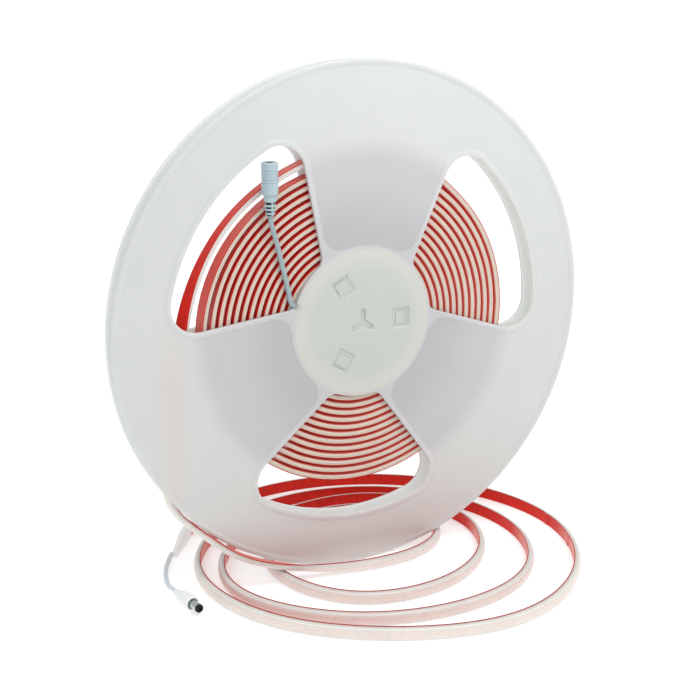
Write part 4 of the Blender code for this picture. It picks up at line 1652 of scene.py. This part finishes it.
        # Each row holds how far the ring lies out of the recess, in millimetres, and its depth.
        steps = (
            (0.6, self.hub_top),
            (0.22, self.hub_top - 0.1 * MM),
            (0.0, self.hub_top - 0.4 * MM),
            (-0.1, floor + 0.25 * MM),
            (-0.4, floor),
        )
        rings = [plate.ring(outline(spread * ease * MM), depth) for spread, depth in steps]
        plate.wall(rings)
        return rings[0], rings[-1]

    def pockets(self, plate: Plate) -> tuple[list[Ring], list[Ring]]:
        """Sink the pockets that the prongs come up through.

        Args:
            plate: the plate being built.

        Returns:
            The pockets' rings on the hub's face, and their holes' rings on the inner face.
        """
        floor = self.hub_top - self.pocket_depth
        size = (self.pocket, self.pocket)
        tops, holes = [], []
        for index in range(self.window_count):
            top, low = self.sink(plate, partial(self.square, index, size), floor, self.pocket_ease)
            outline = self.square(index, self.hole, 0.0)
            hole = [plate.ring(outline, floor), plate.ring(outline, self.inner)]
            plate.wall(hole)
            plate.flat(low, hole[0])
            tops.append(top)
            holes.append(hole[1])
        return tops, holes

    def cutter(self, name: str, size: Sequence[float], reach: float, turn: float, depth: float) -> Piece:
        """Make a box for a cut.

        Args:
            name: the box's name.
            size: its sides, outwards from the axis first.
            reach: how far from the axis its middle lies.
            turn: where it lies round the axis.
            depth: how far in front of the reel's middle plane it lies.

        Returns:
            The box.
        """
        bm = bmesh.new()
        local = Matrix.Translation((reach, 0, depth)) @ Matrix.Diagonal((*size, 1))
        stand = Matrix.Translation((0, 0, AXIS_HEIGHT)) @ Matrix.Rotation(math.pi / 2, 4, "X")
        bmesh.ops.create_cube(bm, size=1, matrix=stand @ Matrix.Rotation(turn, 4, "Z") @ local)
        return link(name, mesh_from(name, bm))

    def plate(self) -> Piece:
        """Build the half without its cuts.

        Returns:
            The half's object.
        """
        plate = Plate(self.side)
        rim_inner, rim_land = self.edge_rings(plate, self.rim)
        rim_slope = self.land_rings(plate, self.rim)
        plate.wall([rim_land, rim_slope[0]])
        edges = [self.edge_rings(plate, partial(self.window, index)) for index in range(self.window_count)]
        lobes = self.land_rings(plate, self.lobes)
        plate.flat(rim_slope[-1], lobes[-1])
        rise = self.hub_top - self.land
        hub = [
            plate.ring(circle(self.hub_radius + across * MM), self.land + share * rise)
            for across, share in self.hub_slope
        ]
        plate.wall(hub)
        plate.flat(lobes[0], hub[0], *(edge[1] for edge in edges))
        star_top, star_floor = self.sink(plate, self.star, self.hub_top - self.star_depth)
        plate.flat(star_floor)
        tops, holes = self.pockets(plate) if self.side is Side.FRONT else ([], [])
        plate.flat(hub[-1], star_top, *tops)
        outer, wall, end = self.sleeve_radius, self.sleeve_wall, self.sleeve_end
        sleeve = ((outer, self.inner), (outer, end), (outer - wall, end), (outer - wall, self.inner))
        rings = [plate.ring(circle(radius), depth) for radius, depth in sleeve]
        plate.wall(rings)
        plate.flat(rim_inner, rings[0], *(edge[0] for edge in edges))
        plate.flat(rings[-1], *holes)
        return plate.close(f"reel_{self.side.name.lower()}")

    def build(self, finish: Material) -> Piece:
        """Build the half, cut it and dress it.

        Args:
            finish: the plastic's finish.

        Returns:
            The half's object.
        """
        thing = self.plate()
        slot = (2 * self.sleeve_wall + self.cap_slot_spare, *self.cap_slot)
        cutters = [
            self.cutter("cap_slot", slot, self.sleeve_radius - self.sleeve_wall, self.cap_turn, 0.0),
            self.cutter("strip_slot", self.strip_slot, self.strip_slot_reach, self.strip_turn, 0.0),
        ]
        if self.side is Side.FRONT:
            start, end, width = self.notch
            low, high = self.notch_depths
            size = (end - start, width, high - low)
            middle, depth = (start + end) / 2, (low + high) / 2
            cutters.append(self.cutter("lead_notch", size, middle, self.notch_turn, depth))
        for cutter in cutters:
            cut = thing.modifiers.new(cutter.name, "BOOLEAN")
            cut.operation, cut.solver, cut.object = "DIFFERENCE", "EXACT", cutter
        settle(thing)
        for cutter in cutters:
            bpy.data.objects.remove(cutter, do_unlink=True)
        return put(thing, finish, "reel_plastic", f"reel_{self.side.name.lower()}_half")


@dataclass
class SnapProngs:
    """The back half's prongs, whose barbs catch on the floors of the front pockets."""

    circle: float = 27.6 * MM
    length: float = 7 * MM
    width: float = 8.4 * MM
    root: float = -5.0 * MM
    catch: float = 6.63 * MM
    barb: float = 1.5 * MM
    tip: float = 6.95 * MM
    barb_edge: float = 0.3 * MM
    edge: float = 0.12 * MM
    count: int = 3

    def build(self, finish: Material, recipe: Recipe) -> Piece:
        """Build one prong and repeat it round the axis.

        Args:
            finish: the plastic's finish.
            recipe: the tree that repeats a piece round the axis.

        Returns:
            The prongs, as one object.
        """
        inner, outer = self.circle - self.length / 2, self.circle + self.length / 2
        outline = [
            (inner, self.root),
            (outer, self.root),
            (outer, self.catch),
            (outer + self.barb, self.catch),
            (outer + self.barb, self.catch + self.barb_edge),
            (outer, self.tip),
            (inner, self.tip),
        ]
        bm = bmesh.new()
        near = [bm.verts.new((x, -depth, -self.width / 2)) for x, depth in outline]
        far = [bm.verts.new((x, -depth, self.width / 2)) for x, depth in outline]
        bm.faces.new(near)
        bm.faces.new(far)
        for i in range(len(outline)):
            bm.faces.new((near[i - 1], near[i], far[i], far[i - 1]))
        bmesh.ops.recalc_face_normals(bm, faces=bm.faces)
        bmesh.ops.bevel(bm, geom=bm.edges, offset=self.edge, segments=2, affect="EDGES")
        thing = recipe.run(link("snap_prongs", mesh_from("snap_prongs", bm)), finish, Count=self.count)
        thing.data.set_sharp_from_angle(angle=CREASE)
        return put(thing, finish, "reel_plastic")


@dataclass
class Jack:
    """The female jack on the inner lead: a moulded body with a slotted neck and a socket in its end."""

    place: Point3 = (-63.9 * MM, -9.6 * MM, 239.3 * MM)
    radius: float = 5.05 * MM
    body: float = 18.5 * MM
    end_round: float = 0.7 * MM
    edge: float = 0.35 * MM
    neck: float = 14 * MM
    neck_radius: float = 3.75 * MM
    core_radius: float = 2.2 * MM
    collar_start: float = 8.7 * MM
    flare_start: float = 12.4 * MM
    flare: float = 1.2 * MM
    rib_start: float = 1.8 * MM
    rib_pitch: float = 2.4 * MM
    rib_height: float = 1.25 * MM
    rib_bore: float = 1.6 * MM
    rib_edge: float = 0.3 * MM
    rib_count: int = 3
    first_rib: float = 0.8
    spine: float = 1.2 * MM
    spine_inset: float = 0.25 * MM
    spine_gap: float = 0.6 * MM
    spine_edge: float = 0.2 * MM
    core_start: float = 0.4 * MM
    socket_radius: float = 2.9 * MM
    socket_depth: float = 9.5 * MM
    socket_lip: float = 0.25 * MM
    lining: float = 0.4 * MM
    lining_floor: float = 0.26 * MM
    lining_start: float = 0.5 * MM
    inner_edge: float = 0.1 * MM
    play: float = 0.02 * MM
    line_depth: float = 0.32 * MM
    line_width: float = 0.6 * MM
    line_reach: float = 5.1 * MM
    line_pitch: float = 1.75 * MM
    line_count: int = 5
    facets: int = 48

    def shell_outline(self) -> Outline:
        """Work out the body's outline: the core of its neck, its collar, its grooved body and its socket.

        Returns:
            Points of (radius, height).
        """
        radius, neck, top = self.radius, self.neck_radius, self.neck + self.body
        bottom = top - self.socket_depth
        cut, edge, floor = radius - self.line_depth, self.line_width / 2, self.line_width / 4
        lines = []
        for index in reversed(range(self.line_count)):
            height = top - self.line_reach - index * self.line_pitch
            lines += [(radius, height - edge), (cut, height - floor)]
            lines += [(cut, height + floor), (radius, height + edge)]
        return [
            (0, 0),
            (self.core_radius, 0),
            (self.core_radius, self.collar_start - 0.1 * MM),
            (neck, self.collar_start),
            (neck + 0.15 * MM, self.flare_start - 0.4 * MM),
            (neck - 0.1 * MM, self.flare_start),
            (radius - self.end_round, self.flare_start + 0.3 * MM),
            (radius, self.flare_start + self.flare),
            *lines,
            (radius, top - self.end_round),
            (radius - self.end_round, top),
            (self.socket_radius + self.socket_lip, top),
            (self.socket_radius, top - self.socket_lip),
            (self.socket_radius, bottom),
            (0, bottom),
        ]

    def lining_outline(self) -> Outline:
        """Work out the outline of the dark cup inside the socket.

        Returns:
            Points of (radius, height).
        """
        top = self.neck + self.body - self.lining_start
        bottom = self.neck + self.body - self.socket_depth + self.play
        outside = self.socket_radius - self.play
        return [
            (0, bottom),
            (outside, bottom),
            (outside, top),
            (outside - self.lining, top),
            (outside - self.lining, bottom + self.lining_floor),
            (0, bottom + self.lining_floor),
        ]

    def shade_core_outline(self) -> Outline:
        """Work out the outline of the dark core between the ribs, a dark piece that stands in for the shade
        in the slits.

        Returns:
            Points of (radius, height).
        """
        top = self.collar_start - 0.05 * MM
        return [
            (0, self.core_start),
            (self.core_radius + 0.05 * MM, self.core_start),
            (self.core_radius + 0.35 * MM, top),
            (0, top),
        ]

    def ribs(self, moulding: Material, stack: Recipe) -> Piece:
        """Build the neck's ribs.

        Args:
            moulding: the body's finish.
            stack: the tree that stacks them.

        Returns:
            The ribs, as one object in the jack's own axes.
        """
        half, neck, bore = self.rib_height / 2, self.neck_radius, self.rib_bore
        ring = soften([(bore, -half), (neck, -half), (neck, half), (bore, half)], self.rib_edge)
        return stack.run(
            lathe("neck_ribs", ring + [ring[0]], Matrix.Identity(4), self.facets),
            moulding,
            Count=self.rib_count,
            Pitch=self.rib_pitch,
            Start=self.rib_start,
            First_Width=self.first_rib,
            Last_Width=1.0,
        )

    def spine_piece(self, stand: Matrix) -> Piece:
        """Build the spine that joins the ribs.

        Args:
            stand: where the jack's own axes lie.

        Returns:
            The spine.
        """
        size = (self.spine, 2 * (self.neck_radius - self.spine_inset), self.collar_start - self.spine_gap)
        middle = Matrix.Translation((0, 0, (self.collar_start + self.spine_gap) / 2))
        bm = bmesh.new()
        bmesh.ops.create_cube(bm, size=1, matrix=stand @ middle @ Matrix.Diagonal((*size, 1)))
        bmesh.ops.bevel(bm, geom=bm.edges, offset=self.spine_edge, segments=2, affect="EDGES")
        return link("neck_spine", mesh_from("neck_spine", bm))

    def build(self, moulding: Material, dark: Material, stack: Recipe) -> list[Piece]:
        """Build the jack.

        Args:
            moulding: the body's finish.
            dark: the finish inside the socket and of the dark core, which is painted shade between the ribs.
            stack: the tree that stacks the neck's ribs.

        Returns:
            The jack's pieces.
        """
        stand = Matrix.Translation(self.place)
        shell = lathe("jack_shell", soften(self.shell_outline(), self.edge), stand)
        socket = lathe("jack_socket", soften(self.lining_outline(), self.inner_edge), stand, self.facets)
        ribs = self.ribs(moulding, stack)
        ribs.data.transform(stand)
        ribs.data.set_sharp_from_angle(angle=TURNED_CREASE)
        # painted shade: a dark core inside the neck makes the slits between the ribs look shaded
        core = lathe("neck_shade_core", soften(self.shade_core_outline(), self.inner_edge), stand, self.facets)
        return [
            put(shell, moulding, "white_moulding", "jack_body"),
            put(socket, dark, "black_insulator"),
            put(core, dark, "black_insulator"),
            put(self.spine_piece(stand), moulding, "white_moulding"),
            put(ribs, moulding, "white_moulding"),
        ]


@dataclass
class BarrelPlug:
    """The male plug on the outer lead: a moulded body, a metal barrel and its dark tip."""

    place: Point3 = (-131.0 * MM, -4.5 * MM, 4.75 * MM)
    heading: float = math.radians(-80)
    gap: float = 0.3 * MM
    radius: float = 4.7 * MM
    body: float = 13.5 * MM
    body_round: float = 0.9 * MM
    round_steps: int = 6
    end_round: float = 0.8 * MM
    waist: float = 4 * MM
    relief: float = 7 * MM
    relief_step: float = 0.45
    tail_radius: float = 2.25 * MM
    tail_flare: float = 0.35 * MM
    seat_gap: float = 0.75 * MM
    seat_edge: float = 0.3 * MM
    seat_depth: float = 2 * MM
    collar_depth: float = 0.9 * MM
    collar_thickness: float = 1.0 * MM
    play: float = 0.05 * MM
    edge: float = 0.2 * MM
    barrel_radius: float = 2.75 * MM
    barrel: float = 8.5 * MM
    tip: float = 1.6 * MM
    tip_wall: float = 0.55 * MM
    tip_round: float = 0.3 * MM
    bore_radius: float = 1.05 * MM
    bore_depth: float = 1.2 * MM
    collar_facets: int = 48

    def shell_outline(self) -> Outline:
        """Work out the body's outline, with the seat that the barrel comes out of.

        Returns:
            Points of (radius, height).
        """
        end = self.relief + self.body
        seat = self.barrel_radius + self.seat_gap
        return [
            (0, 0),
            (self.tail_radius, 0),
            (self.tail_radius + self.tail_flare, self.relief * self.relief_step),
            (self.radius - 1.0 * MM, self.relief),
            (self.radius - 0.15 * MM, self.relief + self.waist),
            (self.radius, end - self.waist),
            (self.radius, end - self.end_round),
            (self.radius - self.end_round, end),
            (seat + self.seat_edge, end),
            (seat, end - self.seat_edge),
            (seat, end - self.seat_depth),
            (0, end - self.seat_depth),
        ]

    def build(self, moulding: Material, collar: Material, metal: Material, dark: Material) -> list[Piece]:
        """Build the plug.

        Args:
            moulding: the body's finish.
            collar: the finish of the recessed ring round the barrel.
            metal: the barrel's finish.
            dark: the tip's finish.

        Returns:
            The plug's pieces.
        """
        turn = Matrix.Rotation(self.heading, 4, "Z") @ Matrix.Rotation(math.pi / 2, 4, "Y")
        stand = Matrix.Translation(self.place) @ turn @ Matrix.Translation((0, 0, self.gap))
        end = self.relief + self.body
        shell = lathe("plug_shell", soften(self.shell_outline(), self.body_round, self.round_steps), stand)
        seat = self.barrel_radius + self.seat_gap - self.play
        low, high = end - self.collar_depth - self.collar_thickness, end - self.collar_depth
        ring = [(0, low), (seat, low), (seat, high), (0, high)]
        inset = lathe("plug_collar", soften(ring, self.edge), stand, self.collar_facets)
        root, rim = high + self.play, end + self.barrel - self.tip
        sleeve = [(0, root), (self.barrel_radius, root), (self.barrel_radius, rim), (0, rim)]
        barrel = lathe("plug_sleeve", soften(sleeve, self.edge), stand)
        far = rim + self.tip
        outside = self.barrel_radius - self.play
        mouth = [
            (0, rim + self.play),
            (outside, rim + self.play),
            (outside, far - self.tip_round),
            (self.barrel_radius - self.tip_wall, far),
            (self.bore_radius, far),
            (self.bore_radius, far - self.bore_depth),
            (0, far - self.bore_depth),
        ]
        end_ring = lathe("plug_mouth", soften(mouth, self.edge), stand)
        return [
            put(shell, moulding, "white_moulding", "plug_body"),
            put(inset, collar, "white_moulding"),
            put(barrel, metal, "bright_metal", "plug_barrel"),
            put(end_ring, dark, "black_insulator", "plug_tip"),
        ]


OUTER_LEAD = (
    (-0.1129, 0.0535, 0.0025),
    (-0.1152, 0.05, 0.0023),
    (-0.1183, 0.0449, 0.0019),
    (-0.1216, 0.039, 0.0016),
    (-0.1249, 0.0315, 0.00155),
    (-0.1276, 0.0235, 0.00155),
    (-0.1296, 0.015, 0.0017),
    (-0.1307, 0.0075, 0.0028),
    (-0.131, 0.001, 0.0043),
    (-0.131, -0.0045, 0.00475),
)
INNER_LEAD = (
    (-0.0298, 0, 0.1456),
    (-0.0266, 0, 0.1478),
    (-0.0238, 0.0001, 0.152),
    (-0.0233, 0.0002, 0.158),
    (-0.0246, 0.0003, 0.165),
    (-0.0282, 0.0004, 0.1714),
    (-0.0324, 0.0004, 0.175),
    (-0.0351, 0.0002, 0.1767),
    (-0.0379, -0.0009, 0.1776),
    (-0.0403, -0.0028, 0.1784),
    (-0.0426, -0.0045, 0.1791),
    (-0.0453, -0.0054, 0.18),
    (-0.0482, -0.0055, 0.1815),
    (-0.0501, -0.0058, 0.186),
    (-0.0522, -0.0061, 0.1955),
    (-0.055, -0.0063, 0.207),
    (-0.0583, -0.0068, 0.22),
    (-0.0612, -0.008, 0.229),
    (-0.0635, -0.0094, 0.2355),
    (-0.0638, -0.0096, 0.239),
)


def finishes() -> dict[str, Material]:
    """Make every finish.

    Returns:
        The materials by name.
    """
    made = (
        MilkyPlastic("reel_plastic", paint(205, 208, 206), roughness=0.42, mottle=0.02, mottle_size=30 * MM),
        Silicone("strip_silicone", paint(221, 216, 210), roughness=0.34),
        # painted shade: the same silicone as the free strip, painted darker and greyer for the shade between
        # the flanges
        Silicone(
            "shaded_wound_silicone",
            paint(208, 197, 184),
            roughness=0.4,
            # painted reflection: the dome is painted red, standing in for the next turn's red liner reflected
            # in it
            core_and_painted_reflection_tone=paint(204, 96, 84),
            core_and_painted_reflection_reach=(0.91, 1.0),
            shoulder_tone=paint(208, 197, 182),
            line_reach=(0.95, 0.97, 0.98, 0.99),
            painted_highlight_tone=paint(232, 226, 216),
        ),
        LinerFilm("liner_film", paint(216, 32, 16), roughness=0.36, reflectance=0.18),
        LinerFilm(
            "wound_liner_film",
            paint(210, 30, 16),
            roughness=0.4,
            reflectance=0.18,
            painted_sheen_reach=(0.3, 0.62),
            painted_sheen_share=0.62,
        ),
        Finish("white_moulding", paint(242, 245, 245), roughness=0.38),
        # painted light: the end cap's white moulding is painted lighter than the same moulding elsewhere,
        # making up for the reel's shade over it
        Finish("cap_moulding_painted_lit", paint(253, 251, 249), roughness=0.38, mottle=0.01),
        Finish("jack_moulding", paint(170, 190, 197), roughness=0.34),
        Finish("collar_insert", paint(160, 180, 176), roughness=0.4),
        Finish("lead_sheath", paint(216, 224, 230), roughness=0.36, mottle_size=5 * MM),
        Finish("inner_sheath", paint(152, 172, 176), roughness=0.36, mottle_size=5 * MM),
        Brushed(
            "bright_metal",
            paint(190, 198, 196),
            roughness=0.22,
            grain_size=0.2 * MM,
            grain_depth=0.004 * MM,
        ),
        Finish("black_insulator", paint(18, 19, 20), roughness=0.42, reflectance=0.25, mottle_size=2 * MM),
    )
    return {finish.name: finish.make() for finish in made}


def main() -> None:
    """Build the studio and every piece, in order."""
    logging.basicConfig(level=logging.INFO, format="%(message)s")
    Studio().build()
    looks = finishes()
    moulding, metal, dark = (looks[name] for name in ("white_moulding", "bright_metal", "black_insulator"))
    section = StripSection()
    tube = tube_recipe()
    cap = EndCap(looks["cap_moulding_painted_lit"])
    FreeStrip(section).build(looks["strip_silicone"], looks["liner_film"], cap)
    plug = BarrelPlug().build(moulding, looks["collar_insert"], metal, dark)
    Lead("outer_lead_sheath", "outer_lead", OUTER_LEAD).build(looks["lead_sheath"], tube, "plug", plug)
    kept = {"strip_inner_cap": moulding, "jack_pin": metal}
    for node, material in kept.items():
        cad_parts[node].material_slots[0].material = material
    jack = Jack().build(looks["jack_moulding"], dark, stack_recipe())
    jack += [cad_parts[node] for node in kept]
    Lead("inner_lead_sheath", "inner_lead", INNER_LEAD).build(looks["inner_sheath"], tube, "connector", jack)
    WoundStrip(section).build(looks["shaded_wound_silicone"], looks["wound_liner_film"], spiral_recipe())
    plastic = looks["reel_plastic"]
    ReelHalf(Side.FRONT).build(plastic)
    ReelHalf(Side.BACK, sleeve_radius=43.8 * MM, sleeve_wall=1.8 * MM, sleeve_end=1.6 * MM).build(plastic)
    SnapProngs().build(plastic, ring_of_recipe())


if __name__ == "__main__":
    main()
